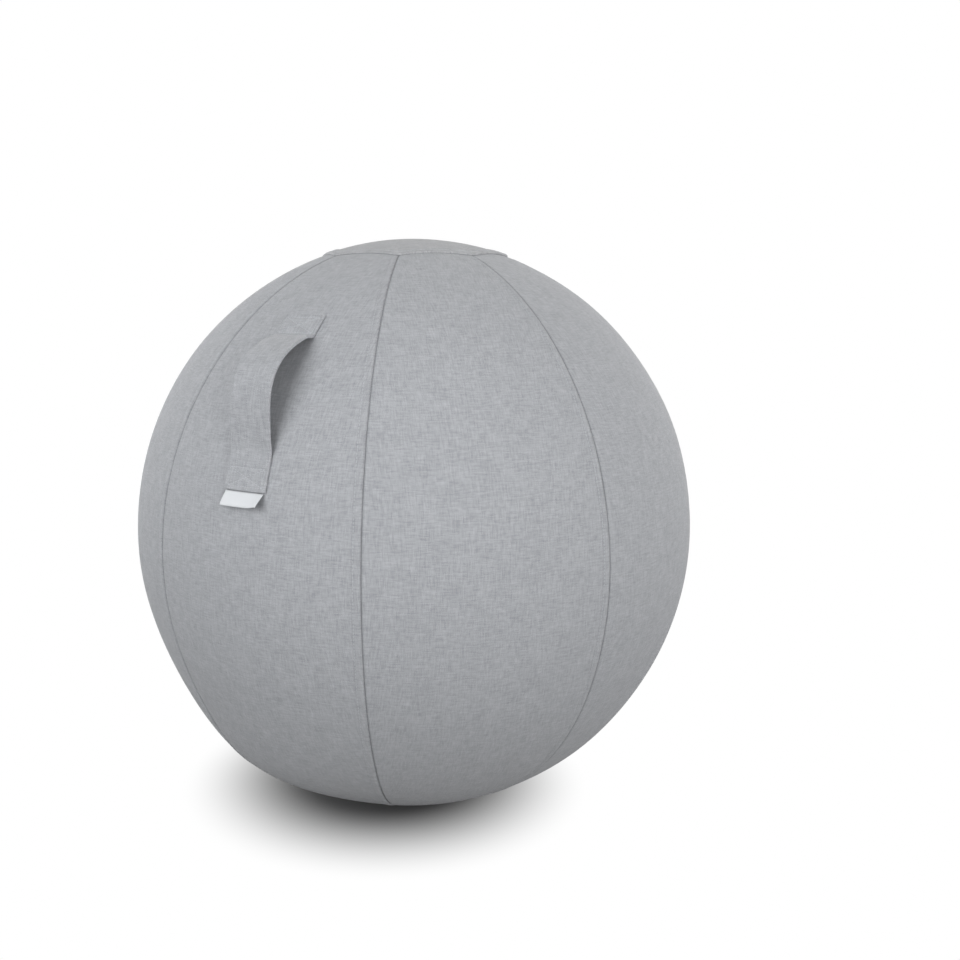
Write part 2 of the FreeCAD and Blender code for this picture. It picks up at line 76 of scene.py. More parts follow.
# Places that the frame gives, in metres and radians. A longitude is counted from the handle, east
# towards +X. A latitude is the slope of the ball's surface. A lift is a height over the cover.

ZIP_PIVOT = joint("zip_run")["pos_m"]
CENTRE_HEIGHT = ZIP_PIVOT[2]
PIVOT_OFFSET = math.hypot(ZIP_PIVOT[0], ZIP_PIVOT[1])
GORE_COUNT = sum(name.startswith("gore_panel") for name in frame["nodes"])
GORE_ANGLE = math.tau / GORE_COUNT
BALL_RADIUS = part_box("gore_panel_3")[1].x
CAP_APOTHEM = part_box("top_cap")[1].x
CAP_CORNER = CAP_APOTHEM / math.cos(GORE_ANGLE / 2)
ZIP_SEAM = 4
ZIP_LONGITUDE = (ZIP_SEAM + 0.5) * GORE_ANGLE


@functools.cache
def box(node):
    """A CAD node's lowest and highest corner."""
    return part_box(node)


def latitude_of(height, layer):
    """The latitude at which a layer of the ball reaches a height."""
    return math.asin((height - CENTRE_HEIGHT) / (layer + PIVOT_OFFSET))


def latitude_at(distance, layer):
    """The latitude at which a layer of the ball lies some distance from the upright axis."""
    return math.acos((distance + PIVOT_OFFSET) / (layer + PIVOT_OFFSET))


def level_at(latitude, layer):
    """How far a layer of the ball is from the upright axis at a latitude."""
    return (layer + PIVOT_OFFSET) * math.cos(latitude) - PIVOT_OFFSET


GORE_END = latitude_of(box("gore_panel_3")[1].z, BALL_RADIUS)
CAP_CORNER_LATITUDE = latitude_at(CAP_CORNER, BALL_RADIUS)
DOME_LATITUDE = (CAP_CORNER_LATITUDE + GORE_END) / 2
DOME_HEIGHT = CENTRE_HEIGHT + PIVOT_OFFSET * math.tan(DOME_LATITUDE)
REACH = BALL_RADIUS + PIVOT_OFFSET
GORE_NAMES = ["cover_gore_%d" % (number + 1) for number in range(GORE_COUNT)]


def length(name, description, default):
    """A size in metres."""
    return bpy.props.FloatProperty(name=name, description=description, default=default,
                                   unit="LENGTH")


def colour(name, description, default):
    """A plain colour."""
    return bpy.props.FloatVectorProperty(name=name, description=description, default=default,
                                         subtype="COLOR", size=3, min=0, max=1)


class CoverSizes(bpy.types.PropertyGroup):
    thickness: length("Cover thickness", "Thickness of the cover's cloth", 0.0012)
    columns: bpy.props.IntProperty(
        name="Columns", description="Faces across a gore", default=60, min=8)
    rows: bpy.props.IntProperty(
        name="Rows", description="Faces along a gore", default=190, min=16)
    crease: length("Seam depth", "How deep a seam's join lies", 0.0008)
    crease_width: length("Seam width", "Width of the hollow beside a join", 0.0010)
    pillow: length("Seam height", "How far the doubled cloth beside a join stands up", 0.0005)
    topstitch_offset: length("Topstitch offset", "From the join to its topstitch", 0.008)
    pucker: length("Pucker", "Height of the small gathers along a seam", 0.00018)
    slack: length("Slack", "Height of the cover's broad unevenness", 0.0007)
    sag: length("Sag", "How far the cover bags out low on the handle's side", 0.0105)


class StrapSizes(bpy.types.PropertyGroup):
    width: length("Strap width", "Width of the handle's strap", 0.050)
    thickness: length("Strap thickness", "Thickness of the folded strap", 0.0026)
    stand_off: length("Stand-off", "Most that the slack strap stands off the ball", 0.026)
    crown_distance: length("Crown distance", "From the upper fold to the crown", 0.060)
    lower_fullness: bpy.props.FloatProperty(
        name="Lower fullness", description="Below 1, the strap's lower half stands off further",
        default=1.1)
    box_inset: length("Box inset", "From the strap's edge to its sewn box", 0.004)
    stitch_pull: length("Stitch pull", "How deep the stitches pull into the strap", 0.0006)


class ThreadSizes(bpy.types.PropertyGroup):
    pitch: length("Stitch pitch", "Length of a stitch with its gap", 0.0036)
    box_pitch: length("Box pitch", "Length of a stitch with its gap in a sewn box", 0.003)
    width: length("Thread width", "Width of a stitch", 0.0007)
    height: length("Thread height", "Height of a stitch over the cloth", 0.00045)


class ZipSizes(bpy.types.PropertyGroup):
    slot: length("Zip slot", "Width between the folded edges beside the zip", 0.0104)
    tape_width: length("Tape width", "From the middle of the zip to a tape's edge", 0.014)
    tooth_pitch: length("Tooth pitch", "From one tooth to the next on a side", 0.0019)


class Colours(bpy.types.PropertyGroup):
    cloth: colour("Cloth", "Lighter yarn of the cover", (0.452, 0.462, 0.482))
    cloth_dark: colour("Dark yarn", "Darker yarn of the cover", (0.282, 0.290, 0.308))
    cap: colour("Cap", "Lighter yarn of the cap", (0.455, 0.460, 0.472))
    cap_dark: colour("Cap's dark yarn", "Darker yarn of the cap", (0.290, 0.294, 0.304))
    base: colour("Base", "Lighter yarn of the base panel", (0.100, 0.105, 0.115))
    thread: colour("Thread", "Sewing thread", (0.480, 0.495, 0.520))
    ribbon: colour("Ribbon", "Blank tag", (0.740, 0.760, 0.780))
    metal: colour("Metal", "Zip slider, pull and stops", (0.300, 0.310, 0.330))
    vinyl: colour("Vinyl", "Ball inside", (0.060, 0.065, 0.075))
    valve: colour("Valve", "Valve plug", (0.62, 0.62, 0.60))
    grains: colour("Grains", "Filling of the weighted ring", (0.45, 0.40, 0.33))


def sizes(name):
    """One of the scene's groups of sizes."""
    return getattr(bpy.context.scene, "sitting_ball_" + name)


# Shape of the cover

def smooth(low, high, value):
    """0 below low, 1 above high and an even turn between them."""
    share = min(max((value - low) / (high - low), 0.0), 1.0)
    return share * share * (3 - 2 * share)


def hump(value, middle, width):
    """1 at the middle, falling off evenly over a width on both sides."""
    return math.exp(-((value - middle) / width) ** 2)


def turn_between(one, other):
    """The signed angle from one longitude to another, the short way round."""
    return (other - one + math.pi) % math.tau - math.pi


SAG_LONGITUDE = math.radians(-19)
SAG_LATITUDE = math.radians(-47)
SAG_HALF_LONGITUDE = math.radians(34)
SAG_HALF_LATITUDE = math.radians(15)
SLACK_GRAIN = 9.0
EVEN_BESIDE_ZIP = (0.02, 0.07)
EVEN_NEAR_CAPS = (1.25, 1.1)


def swell(longitude, latitude):
    """How far the cover stands out from the even ball, apart from its seams."""
    cover = sizes("cover")
    sag = cover.sag * hump(turn_between(SAG_LONGITUDE, longitude), 0, SAG_HALF_LONGITUDE)
    sag *= hump(latitude, SAG_LATITUDE, SAG_HALF_LATITUDE)
    spot = Vector(ball_point(longitude, latitude, BALL_RADIUS)) * SLACK_GRAIN
    wave = cover.slack * noise.noise(spot)
    beside_zip = abs(turn_between(ZIP_LONGITUDE, longitude)) * level_at(latitude, BALL_RADIUS)
    wave *= smooth(*EVEN_BESIDE_ZIP, beside_zip) * smooth(*EVEN_NEAR_CAPS, abs(latitude))
    return sag + wave


def ball_point(longitude, latitude, layer):
    """A point of one of the ball's even layers."""
    level = level_at(latitude, layer)
    height = CENTRE_HEIGHT + (layer + PIVOT_OFFSET) * math.sin(latitude)
    return Vector((math.sin(longitude) * level, -math.cos(longitude) * level, height))


def outward(longitude, latitude):
    """The ball's normal."""
    level = math.cos(latitude)
    return Vector((math.sin(longitude) * level, -math.cos(longitude) * level,
                   math.sin(latitude)))


def cover_point(longitude, latitude, lift=0.0):
    """A point over the cover."""
    return ball_point(longitude, latitude, BALL_RADIUS + swell(longitude, latitude) + lift)


def beside(longitude, latitude, across):
    """The longitude that lies a distance east of another, at a latitude."""
    return longitude + across / level_at(latitude, BALL_RADIUS)


def along(latitude, distance):
    """The latitude that lies a distance further down the cover."""
    return latitude - distance / REACH


# The cloth beside a seam, in metres: where it rises and falls, and where its gathers are

FOLD_RISE = 0.0022
FOLD_FALL = 0.0025
STITCH_HOLLOW = 0.0011
STITCH_HOLLOW_DEPTH = 0.4
UNDER_CAP = 0.03
PUCKER_GRAIN = (60, 20)
PUCKER_SEEDS = {True: 3.1, False: 7.7}
PUCKER_MIDDLE = 0.004
PUCKER_WIDTH = 0.009


def seam_relief(distance, latitude, topstitched):
    """The height of the cloth at a distance from its seam."""
    cover = sizes("cover")
    height = -cover.crease * hump(distance, 0, cover.crease_width)
    under_cap = smooth(CAP_CORNER_LATITUDE, CAP_CORNER_LATITUDE - UNDER_CAP, abs(latitude))
    if topstitched:
        row = cover.topstitch_offset
        pillow = smooth(0.0, FOLD_RISE, distance) - smooth(row - FOLD_FALL, row, distance)
        height += cover.pillow * pillow * under_cap
        height -= STITCH_HOLLOW_DEPTH * cover.pillow * hump(distance, row, STITCH_HOLLOW)
    ripple = noise.noise(Vector((latitude * PUCKER_GRAIN[0], distance * PUCKER_GRAIN[1],
                                 PUCKER_SEEDS[topstitched])))
    height += cover.pucker * ripple * hump(distance, PUCKER_MIDDLE, PUCKER_WIDTH) * under_cap
    return height


# Meshes

MERGE_DISTANCE = 1e-6


def finished(name, bm, body, material, nodes=(), smooth_faces=True):
    """Turns a bmesh into a piece that rides on a body and stands for some CAD nodes."""
    mesh = bpy.data.meshes.new(name)
    bm.to_mesh(mesh)
    bm.free()
    for polygon in mesh.polygons:
        polygon.use_smooth = smooth_faces
    piece = bpy.data.objects.new(name, mesh)
    bpy.context.scene.collection.objects.link(piece)
    mesh.materials.append(material)
    if body:
        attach(piece, body)
    if nodes:
        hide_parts(*nodes)
    return piece


def lay_flat(bm, flat):
    """Writes where each corner of a piece lies on its flat cut, in metres."""
    uv = bm.loops.layers.uv.new("cloth")
    for face in bm.faces:
        for loop in face.loops:
            loop[uv].uv = flat(loop.vert.co)


def cloth_grid(columns, rows, place, flat, shade=None):
    """A grid of cloth. The three functions take a corner's two coordinates, each from -1 to 1.
    They give its place on the object, its place on the flat cut, and how much painted shade a seam
    lays on it."""
    bm = bmesh.new()
    bmesh.ops.create_grid(bm, x_segments=columns, y_segments=rows, size=1.0)
    lay_flat(bm, lambda corner: flat(corner.x, corner.y))
    # Painted shade: how much each corner is darkened to stand in for the shadow in a seam's
    # hollow.
    depth = bm.verts.layers.float.new("seam_painted_shade") if shade else None
    for vert in bm.verts:
        x, y = vert.co.x, vert.co.y
        if shade:
            vert[depth] = shade(x, y)
        vert.co = place(x, y)
    return bm


def spun(bm, steps):
    """Spins a profile round the upright axis."""
    bmesh.ops.spin(bm, geom=bm.verts[:] + bm.edges[:], cent=(0, 0, 0), axis=(0, 0, 1),
                   angle=math.tau, steps=steps, use_merge=True)
    bmesh.ops.remove_doubles(bm, verts=bm.verts[:], dist=MERGE_DISTANCE)


def thicken(piece, thickness, offset=-1.0):
    """Gives a sheet its thickness, inward unless the offset says otherwise."""
    wall = piece.modifiers.new("thickness", "SOLIDIFY")
    wall.thickness = thickness
    wall.offset = offset
    wall.use_even_offset = True


def rounded(piece, width, segments, angle):
    """Rounds a piece's edges that are sharper than an angle in degrees."""
    edge = piece.modifiers.new("soft edges", "BEVEL")
    edge.width = width
    edge.segments = segments
    edge.limit_method = "ANGLE"
    edge.angle_limit = math.radians(angle)


def face_out(bm):
    """Turns a sheet's faces so that they point away from the ball's middle."""
    middle = Vector((0, 0, CENTRE_HEIGHT))
    bm.normal_update()
    inward = [f for f in bm.faces if f.normal.dot(f.calc_center_median() - middle) < 0]
    if len(inward) > len(bm.faces) / 2:
        bmesh.ops.reverse_faces(bm, faces=bm.faces[:])


def applied(piece):
    """Makes a piece's modifiers part of its mesh."""
    graph = bpy.context.evaluated_depsgraph_get()
    mesh = bpy.data.meshes.new_from_object(piece.evaluated_get(graph),
                                           preserve_all_data_layers=True, depsgraph=graph)
    piece.modifiers.clear()
    piece.data = mesh


CAPSULE_BATCH = 24
STITCH_SEGMENTS = 6
STITCH_RINGS = 4
STITCH_SHARE = 0.82


def capsules(bm, turns, segments, rings):
    """Small round pieces, one for each matrix, made a few at a time to keep the work short."""
    for first in range(0, len(turns), CAPSULE_BATCH):
        some = bmesh.new()
        for turn in turns[first:first + CAPSULE_BATCH]:
            bmesh.ops.create_uvsphere(some, u_segments=segments, v_segments=rings, radius=0.5,
                                      matrix=turn)
        mesh = bpy.data.meshes.new("capsules")
        some.to_mesh(mesh)
        some.free()
        bm.from_mesh(mesh)
        bpy.data.meshes.remove(mesh)


def capsule_turn(middle, *axes):
    """The matrix that puts a capsule at a middle, with its three axes at full length."""
    return Matrix.Translation(middle) @ Matrix(axes).transposed().to_4x4()


def stitch_run(bm, place, run, pitch=None):
    """Single stitches along a run. place gives a point and the normal at a distance along it."""
    thread = sizes("thread")
    count = max(1, round(run / (pitch or thread.pitch)))
    step = run / count
    turns = []
    for number in range(count):
        start, normal = place((number + 0.5) * step - step * STITCH_SHARE / 2)
        finish, _ = place((number + 0.5) * step + step * STITCH_SHARE / 2)
        forward = (finish - start).normalized()
        side = forward.cross(normal).normalized()
        turns.append(capsule_turn((start + finish) / 2, side * thread.width,
                                  side.cross(forward) * thread.height * 2, finish - start))
    capsules(bm, turns, STITCH_SEGMENTS, STITCH_RINGS)


# Materials

def new_group(name, inputs, outputs):
    """An empty shader node group with its sockets."""
    group = bpy.data.node_groups.new(name, "ShaderNodeTree")
    for title, kind, default in inputs:
        socket = group.interface.new_socket(name=title, in_out="INPUT", socket_type=kind)
        if default is not None:
            socket.default_value = default
    for title, kind in outputs:
        group.interface.new_socket(name=title, in_out="OUTPUT", socket_type=kind)
    return group


def tinted(tone, share):
    """A colour made darker or lighter."""
    return tuple(channel * share for channel in tone)


class Board:
    """Places nodes in a tree and links them, which keeps the materials short."""

    def __init__(self, tree):
        self.tree = tree

    def add(self, kind, **settings):
        node = self.tree.nodes.new(kind)
        for name, value in settings.items():
            setattr(node, name, value)
        return node

    def feed(self, source, socket):
        if isinstance(source, (int, float)):
            socket.default_value = source
        elif isinstance(source, (tuple, list)):
            socket.default_value = tuple(source)
        else:
            self.tree.links.new(source, socket)

    def math(self, operation, *values):
        node = self.add("ShaderNodeMath", operation=operation)
        for place, value in enumerate(values):
            self.feed(value, node.inputs[place])
        return node.outputs[0]

    def vector(self, x, y, z):
        node = self.add("ShaderNodeCombineXYZ")
        for place, value in enumerate((x, y, z)):
            self.feed(value, node.inputs[place])
        return node.outputs[0]

    def noise(self, vector, scale=1.0, detail=2.0, roughness=0.5):
        node = self.add("ShaderNodeTexNoise")
        self.feed(vector, node.inputs["Vector"])
        node.inputs["Scale"].default_value = scale
        node.inputs["Detail"].default_value = detail
        node.inputs["Roughness"].default_value = roughness
        return node.outputs["Fac"]

    def mix(self, factor, one, other):
        node = self.add("ShaderNodeMix", data_type="RGBA")
        self.feed(factor, node.inputs[0])
        self.feed(one, node.inputs[6])
        self.feed(other, node.inputs[7])
        return node.outputs[2]

    def blend(self, factor, one, other):
        node = self.add("ShaderNodeMix", data_type="FLOAT")
        self.feed(factor, node.inputs[0])
        self.feed(one, node.inputs[2])
        self.feed(other, node.inputs[3])
        return node.outputs[0]

    def scaled(self, value, share, rest=0.0):
        return self.math("ADD", rest, self.math("MULTIPLY", value, share))

    def bump(self, height, strength, distance, normal):
        node = self.add("ShaderNodeBump")
        node.inputs["Strength"].default_value = strength
        node.inputs["Distance"].default_value = distance
        self.feed(height, node.inputs["Height"])
        self.feed(node.outputs[0], normal)


SURFACE = [("Color", "NodeSocketColor"), ("Height", "NodeSocketFloat"),
           ("Roughness", "NodeSocketFloat")]
YARN_STEP = 3.71
SHARED_GRAIN = (560.0, 95.0)
SHARED_SEED = 5.0
SHARED_PART = 0.4
WEFT_SEED = 40.0
CLOUD_GRAIN = 60.0
CLOUD_PART = 0.5
CROSSING = 0.6


def weave_group():
    """Plain weave of slubbed yarn: each thread has its own tone, which changes along it."""
    group = new_group("plain weave", [
        ("Flat place", "NodeSocketVector", None), ("Yarns per metre", "NodeSocketFloat", 1250.0),
        ("Slub length", "NodeSocketFloat", 70.0), ("Contrast", "NodeSocketFloat", 1.0),
        ("Light yarn", "NodeSocketColor", (0.5, 0.5, 0.5, 1)),
        ("Dark yarn", "NodeSocketColor", (0.3, 0.3, 0.3, 1))], SURFACE)
    board = Board(group)
    given = board.add("NodeGroupInput").outputs
    result = board.add("NodeGroupOutput").inputs
    split = board.add("ShaderNodeSeparateXYZ")
    board.feed(given["Flat place"], split.inputs[0])
    across, up = split.outputs[0], split.outputs[1]
    yarns = given["Yarns per metre"]
    slub = given["Slub length"]

    def yarn(over, run, seed):
        count = board.math("MULTIPLY", over, yarns)
        number = board.math("FLOOR", count)
        place = board.vector(board.math("MULTIPLY", number, YARN_STEP),
                             board.math("MULTIPLY", run, slub), seed)
        own = board.noise(place, detail=3.0, roughness=0.6)
        near = board.vector(board.math("MULTIPLY", over, SHARED_GRAIN[0]),
                            board.math("MULTIPLY", run, SHARED_GRAIN[1]), seed + SHARED_SEED)
        shared = board.noise(near, detail=2.0, roughness=0.6)
        tone = board.blend(SHARED_PART, own, shared)
        bow = board.math("ABSOLUTE", board.math("SINE", board.math("MULTIPLY", count, math.pi)))
        return number, tone, bow

    warp_number, warp_tone, warp_bow = yarn(across, up, 0.0)
    weft_number, weft_tone, weft_bow = yarn(up, across, WEFT_SEED)
    crossings = board.math("ABSOLUTE", board.math("ADD", warp_number, weft_number))
    over_under = board.math("MODULO", crossings, 2.0)
    tone = board.blend(over_under, warp_tone, weft_tone)
    spread = board.math("MULTIPLY", board.math("SUBTRACT", tone, 0.5), given["Contrast"])
    cloud = board.noise(given["Flat place"], scale=CLOUD_GRAIN, detail=3.0)
    spread = board.scaled(board.math("SUBTRACT", cloud, 0.5), CLOUD_PART, spread)
    factor = board.add("ShaderNodeClamp")
    board.feed(board.math("ADD", spread, 0.5), factor.inputs[0])
    board.feed(board.mix(factor.outputs[0], given["Dark yarn"], given["Light yarn"]),
               result["Color"])
    upper = board.math("MULTIPLY", warp_bow, board.math("ADD", weft_bow, CROSSING))
    lower = board.math("MULTIPLY", weft_bow, board.math("ADD", warp_bow, CROSSING))
    board.feed(board.blend(over_under, upper, lower), result["Height"])
    board.feed(board.scaled(tone, -0.2, 0.95), result["Roughness"])
    return group


def wear_group():
    """Fine scratches and a mottle for metal and plastic."""
    group = new_group("fine wear", [
        ("Place", "NodeSocketVector", None), ("Base", "NodeSocketColor", (0.5, 0.5, 0.5, 1)),
        ("Grain", "NodeSocketFloat", 900.0), ("Depth", "NodeSocketFloat", 0.12)], SURFACE)
    board = Board(group)
    given = board.add("NodeGroupInput").outputs
    result = board.add("NodeGroupOutput").inputs
    fine = board.add("ShaderNodeTexNoise")
    board.feed(given["Place"], fine.inputs["Vector"])
    board.feed(given["Grain"], fine.inputs["Scale"])
    fine.inputs["Detail"].default_value = 4.0
    broad = board.noise(given["Place"], scale=120.0, detail=3.0)
    dim = board.math("SUBTRACT", 1.0, board.math("MULTIPLY", broad, given["Depth"]))
    scale = board.add("ShaderNodeVectorMath", operation="SCALE")
    board.feed(given["Base"], scale.inputs[0])
    board.feed(dim, scale.inputs["Scale"])
    board.feed(scale.outputs[0], result["Color"])
    board.feed(fine.outputs["Fac"], result["Height"])
    board.feed(board.scaled(fine.outputs["Fac"], 0.3, 0.25), result["Roughness"])
    return group


def shared_group(make):
    """The group that a function makes, made once."""
    name = make.__name__
    if name not in bpy.data.node_groups:
        group = make()
        group.name = name
    return bpy.data.node_groups[name]


def new_material(name):
    """A material with a Principled shader, its board and the shader's sockets."""
    material = bpy.data.materials.new(name)
    material.use_nodes = True
    board = Board(material.node_tree)
    shader = material.node_tree.nodes["Principled BSDF"]
    return material, board, shader.inputs


# Painted shade in the seams: its strength and the dark tone that it mixes into the cloth.
SEAM_SHADE = 0.4
SEAM_SHADE_TONE = 0.35


def cloth_material(name, light, dark, yarns=1250.0, contrast=1.0, sheen=0.25, shaded=False,
                   relief=0.00022):
    """Woven cloth whose yarns follow the flat cut of each piece, with shade painted into its seams
    when shaded.
    """
    if name in bpy.data.materials:
        return bpy.data.materials[name]
    material, board, shader = new_material(name)
    weave = board.add("ShaderNodeGroup")
    weave.node_tree = shared_group(weave_group)
    place = board.add("ShaderNodeUVMap", uv_map="cloth")
    board.feed(place.outputs[0], weave.inputs["Flat place"])
    weave.inputs["Yarns per metre"].default_value = yarns
    weave.inputs["Contrast"].default_value = contrast
    weave.inputs["Light yarn"].default_value = (*light, 1)
    weave.inputs["Dark yarn"].default_value = (*dark, 1)
    tone = weave.outputs["Color"]
    # Painted shade: the seam's hollow and its topstitch row are darkened in the colour itself.
    if shaded:
        depth = board.add("ShaderNodeAttribute", attribute_name="seam_painted_shade")
        tone = board.mix(board.math("MULTIPLY", depth.outputs["Fac"], SEAM_SHADE), tone,
                         (*tinted(dark, SEAM_SHADE_TONE), 1))
    board.feed(tone, shader["Base Color"])
    board.feed(weave.outputs["Roughness"], shader["Roughness"])
    shader["Sheen Weight"].default_value = sheen
    shader["Sheen Roughness"].default_value = 0.55
    shader["Specular IOR Level"].default_value = 0.25
    board.bump(weave.outputs["Height"], 0.45, relief, shader["Normal"])
    return material


def thread_material():
    """Twisted sewing thread."""
    if "sewing thread" in bpy.data.materials:
        return bpy.data.materials["sewing thread"]
    material, board, shader = new_material("sewing thread")
    place = board.add("ShaderNodeTexCoord").outputs["Object"]
    ply = board.noise(place, scale=2600.0, detail=2.0)
    tone = sizes("colours").thread
    board.feed(board.mix(ply, (*tinted(tone, 0.8), 1), (*tinted(tone, 1.15), 1)),
               shader["Base Color"])
    board.feed(board.scaled(ply, 0.3, 0.45), shader["Roughness"])
    shader["Sheen Weight"].default_value = 0.15
    board.bump(ply, 0.4, 0.0001, shader["Normal"])
    return material


def worn_material(name, tone, metallic=0.0, grain=900.0, depth=0.12, relief=0.00004):
    """Metal, plastic or vinyl with a fine grain."""
    if name in bpy.data.materials:
        return bpy.data.materials[name]
    material, board, shader = new_material(name)
    wear = board.add("ShaderNodeGroup")
    wear.node_tree = shared_group(wear_group)
    board.feed(board.add("ShaderNodeTexCoord").outputs["Object"], wear.inputs["Place"])
    wear.inputs["Base"].default_value = (*tone, 1)
    wear.inputs["Grain"].default_value = grain
    wear.inputs["Depth"].default_value = depth
    board.feed(wear.outputs["Color"], shader["Base Color"])
    board.feed(wear.outputs["Roughness"], shader["Roughness"])
    shader["Metallic"].default_value = metallic
    board.bump(wear.outputs["Height"], 0.3, relief, shader["Normal"])
    return material


# Pieces

SEAM_GAP = 0.00004
SLOT_TAPER = 0.004
EDGE_CROWDING = 1.7
GORE_SHIFT = 0.317
JOIN_SHADE_WIDTH = 0.0009
ROW_SHADE_WIDTH = 0.0008
ROW_SHADE = 0.3
TAPE_OVERRUN = 0.010


class SittingBallGores(bpy.types.Operator):
    """Sews the cover's gores, with the hollow of each seam and the doubled cloth beside it"""

    bl_idname = "sitting_ball.gores"
    bl_label = "Gore panels"

    def execute(self, context):
        for number in range(GORE_COUNT):
            self.gore(number)
        return {"FINISHED"}

    def gore(self, number):
        cover = sizes("cover")
        middle = number * GORE_ANGLE
        west_seam = (number - 1) % GORE_COUNT
        slot_top, slot_foot = ends("zip_stitching")

        def edge_cut(seam, latitude):
            if seam != ZIP_SEAM:
                return SEAM_GAP
            opened = smooth(slot_top + SLOT_TAPER, slot_top, latitude)
            opened *= smooth(slot_foot - SLOT_TAPER, slot_foot, latitude)
            return SEAM_GAP + sizes("zip").slot / 2 * opened

        def spot(x, y):
            latitude = y * GORE_END
            half = GORE_ANGLE / 2 * level_at(latitude, BALL_RADIUS)
            west = -half + edge_cut(west_seam, latitude)
            east = half - edge_cut(number, latitude)
            share = (1 + math.copysign(1 - (1 - abs(x)) ** EDGE_CROWDING, x)) / 2
            across = west + (east - west) * share
            return latitude, across, across - west, east - across

        def place(x, y):
            latitude, across, from_west, from_east = spot(x, y)
            lift = seam_relief(from_west, latitude, False)
            lift += seam_relief(from_east, latitude, True)
            return cover_point(beside(middle, latitude, across), latitude, lift)

        def flat(x, y):
            latitude, across, _, _ = spot(x, y)
            return (across + number * GORE_SHIFT, latitude * REACH)

        # Painted shade along each join and along the hollow of its topstitch row.
        def shade(x, y):
            _, _, from_west, from_east = spot(x, y)
            row = hump(from_east, cover.topstitch_offset, ROW_SHADE_WIDTH)
            return hump(min(from_west, from_east), 0, JOIN_SHADE_WIDTH) + ROW_SHADE * row

        bm = cloth_grid(cover.columns, cover.rows, place, flat, shade)
        face_out(bm)
        colours = sizes("colours")
        cloth = cloth_material("cover linen", colours.cloth, colours.cloth_dark, contrast=4.2,
                               shaded=True)
        piece = finished(GORE_NAMES[number], bm, "ball", cloth,
                         ["gore_panel_%d" % (number + 1)])
        thicken(piece, cover.thickness)


def ends(node, layer=BALL_RADIUS):
    """The latitudes of a node's upper and lower ends, on a layer of the ball."""
    low, high = box(node)
    return latitude_of(high.z, layer), latitude_of(low.z, layer)


class SittingBallTopstitch(bpy.types.Operator):
    """Sews the row of single stitches beside each seam"""

    bl_idname = "sitting_ball.topstitch"
    bl_label = "Seam topstitching"

    def execute(self, context):
        cover = sizes("cover")
        slot_top, slot_foot = ends("zip_stitching")
        for number in range(GORE_COUNT):
            seam = (number + 0.5) * GORE_ANGLE
            spans = [(-CAP_CORNER_LATITUDE, CAP_CORNER_LATITUDE)]
            if number == ZIP_SEAM:
                spans = [(-CAP_CORNER_LATITUDE, along(slot_foot, TAPE_OVERRUN)),
                         (along(slot_top, -TAPE_OVERRUN), CAP_CORNER_LATITUDE)]
            bm = bmesh.new()
            for south, north in spans:
                def place(distance):
                    latitude = along(north, distance)
                    longitude = beside(seam, latitude, -cover.topstitch_offset)
                    lift = seam_relief(cover.topstitch_offset, latitude, True)
                    return cover_point(longitude, latitude, lift), outward(longitude, latitude)

                stitch_run(bm, place, (north - south) * REACH)
            finished("seam_stitches_%d" % (number + 1), bm, "ball",
                     thread_material(), ["seam_topstitch_%d" % (number + 1)])
        return {"FINISHED"}


# A cap's profile: distance in from the edge and lift over the gores

HEM_PROFILE = [(0.0002, 0.0001), (-0.0002, 0.0007), (-0.0001, 0.0015), (0.0006, 0.0023),
               (0.0018, 0.0027), (0.0038, 0.0027), (0.0052, 0.0024), (0.0060, 0.0022),
               (0.0068, 0.0024), (0.0085, 0.0027), (0.0105, 0.0026), (0.0117, 0.0022),
               (0.0124, 0.0016), (0.0134, 0.0013), (0.0160, 0.0013)]
HEM_STITCH_INSET = 0.006
HEM_STITCH_LIFT = 0.0023
HEM_STITCH_END = 0.001
CAP_RINGS = 20
CAP_STEPS = 16
CAP_THICKNESS = 0.0011
CORNER_ROUNDING = 0.010
CORNER_WIDTH = 0.04
CAP_EDGE = 0.03


def cap_place(apothem, longitude, lift, side):
    """A point over the cap, where its eight-sided rings are some distance from the axis."""
    from_flat = (longitude + GORE_ANGLE / 2) % GORE_ANGLE - GORE_ANGLE / 2
    distance = apothem / math.cos(from_flat)
    rounding = CORNER_ROUNDING * (1 / math.cos(GORE_ANGLE / 2) - 1)
    rounding *= hump(abs(from_flat), GORE_ANGLE / 2, CORNER_WIDTH)
    distance -= rounding * smooth(0.0, CAP_APOTHEM, apothem)
    reach = REACH + lift - PIVOT_OFFSET / math.cos(DOME_LATITUDE)
    height = math.sqrt(reach ** 2 - distance ** 2)
    top = Vector((math.sin(longitude) * distance, -math.cos(longitude) * distance,
                  DOME_HEIGHT + height))
    normal = (top - Vector((0, 0, DOME_HEIGHT))).normalized()
    slack = 0.5 * sizes("cover").slack * noise.noise(top * SLACK_GRAIN * 1.5)
    top += normal * slack * smooth(0.0, CAP_EDGE, CAP_APOTHEM - apothem)
    if side < 0:
        top.z = max(2 * CENTRE_HEIGHT - top.z, 0.0)
        normal.z = -normal.z
    return top, normal


def cap_piece(name, node, material, side):
    """The cap or the base panel: a profile spun round the axis, then drawn out to eight sides."""
    bm = bmesh.new()
    inner, level = HEM_PROFILE[-1]
    rings = [(inner + (CAP_APOTHEM - inner) * (step / CAP_RINGS), level)
             for step in range(1, CAP_RINGS + 1)]
    line = [bm.verts.new((CAP_APOTHEM - inset, 0, lift)) for inset, lift in HEM_PROFILE + rings]
    for start, finish in zip(line, line[1:]):
        bm.edges.new((start, finish))
    spun(bm, GORE_COUNT * CAP_STEPS)
    lay_flat(bm, lambda corner: (corner.x, corner.y))
    for vert in bm.verts:
        apothem = math.hypot(vert.co.x, vert.co.y)
        longitude = math.atan2(vert.co.x, -vert.co.y)
        vert.co, _ = cap_place(apothem, longitude, vert.co.z, side)
    face_out(bm)
    piece = finished(name, bm, "ball", material, [node])
    thicken(piece, CAP_THICKNESS)


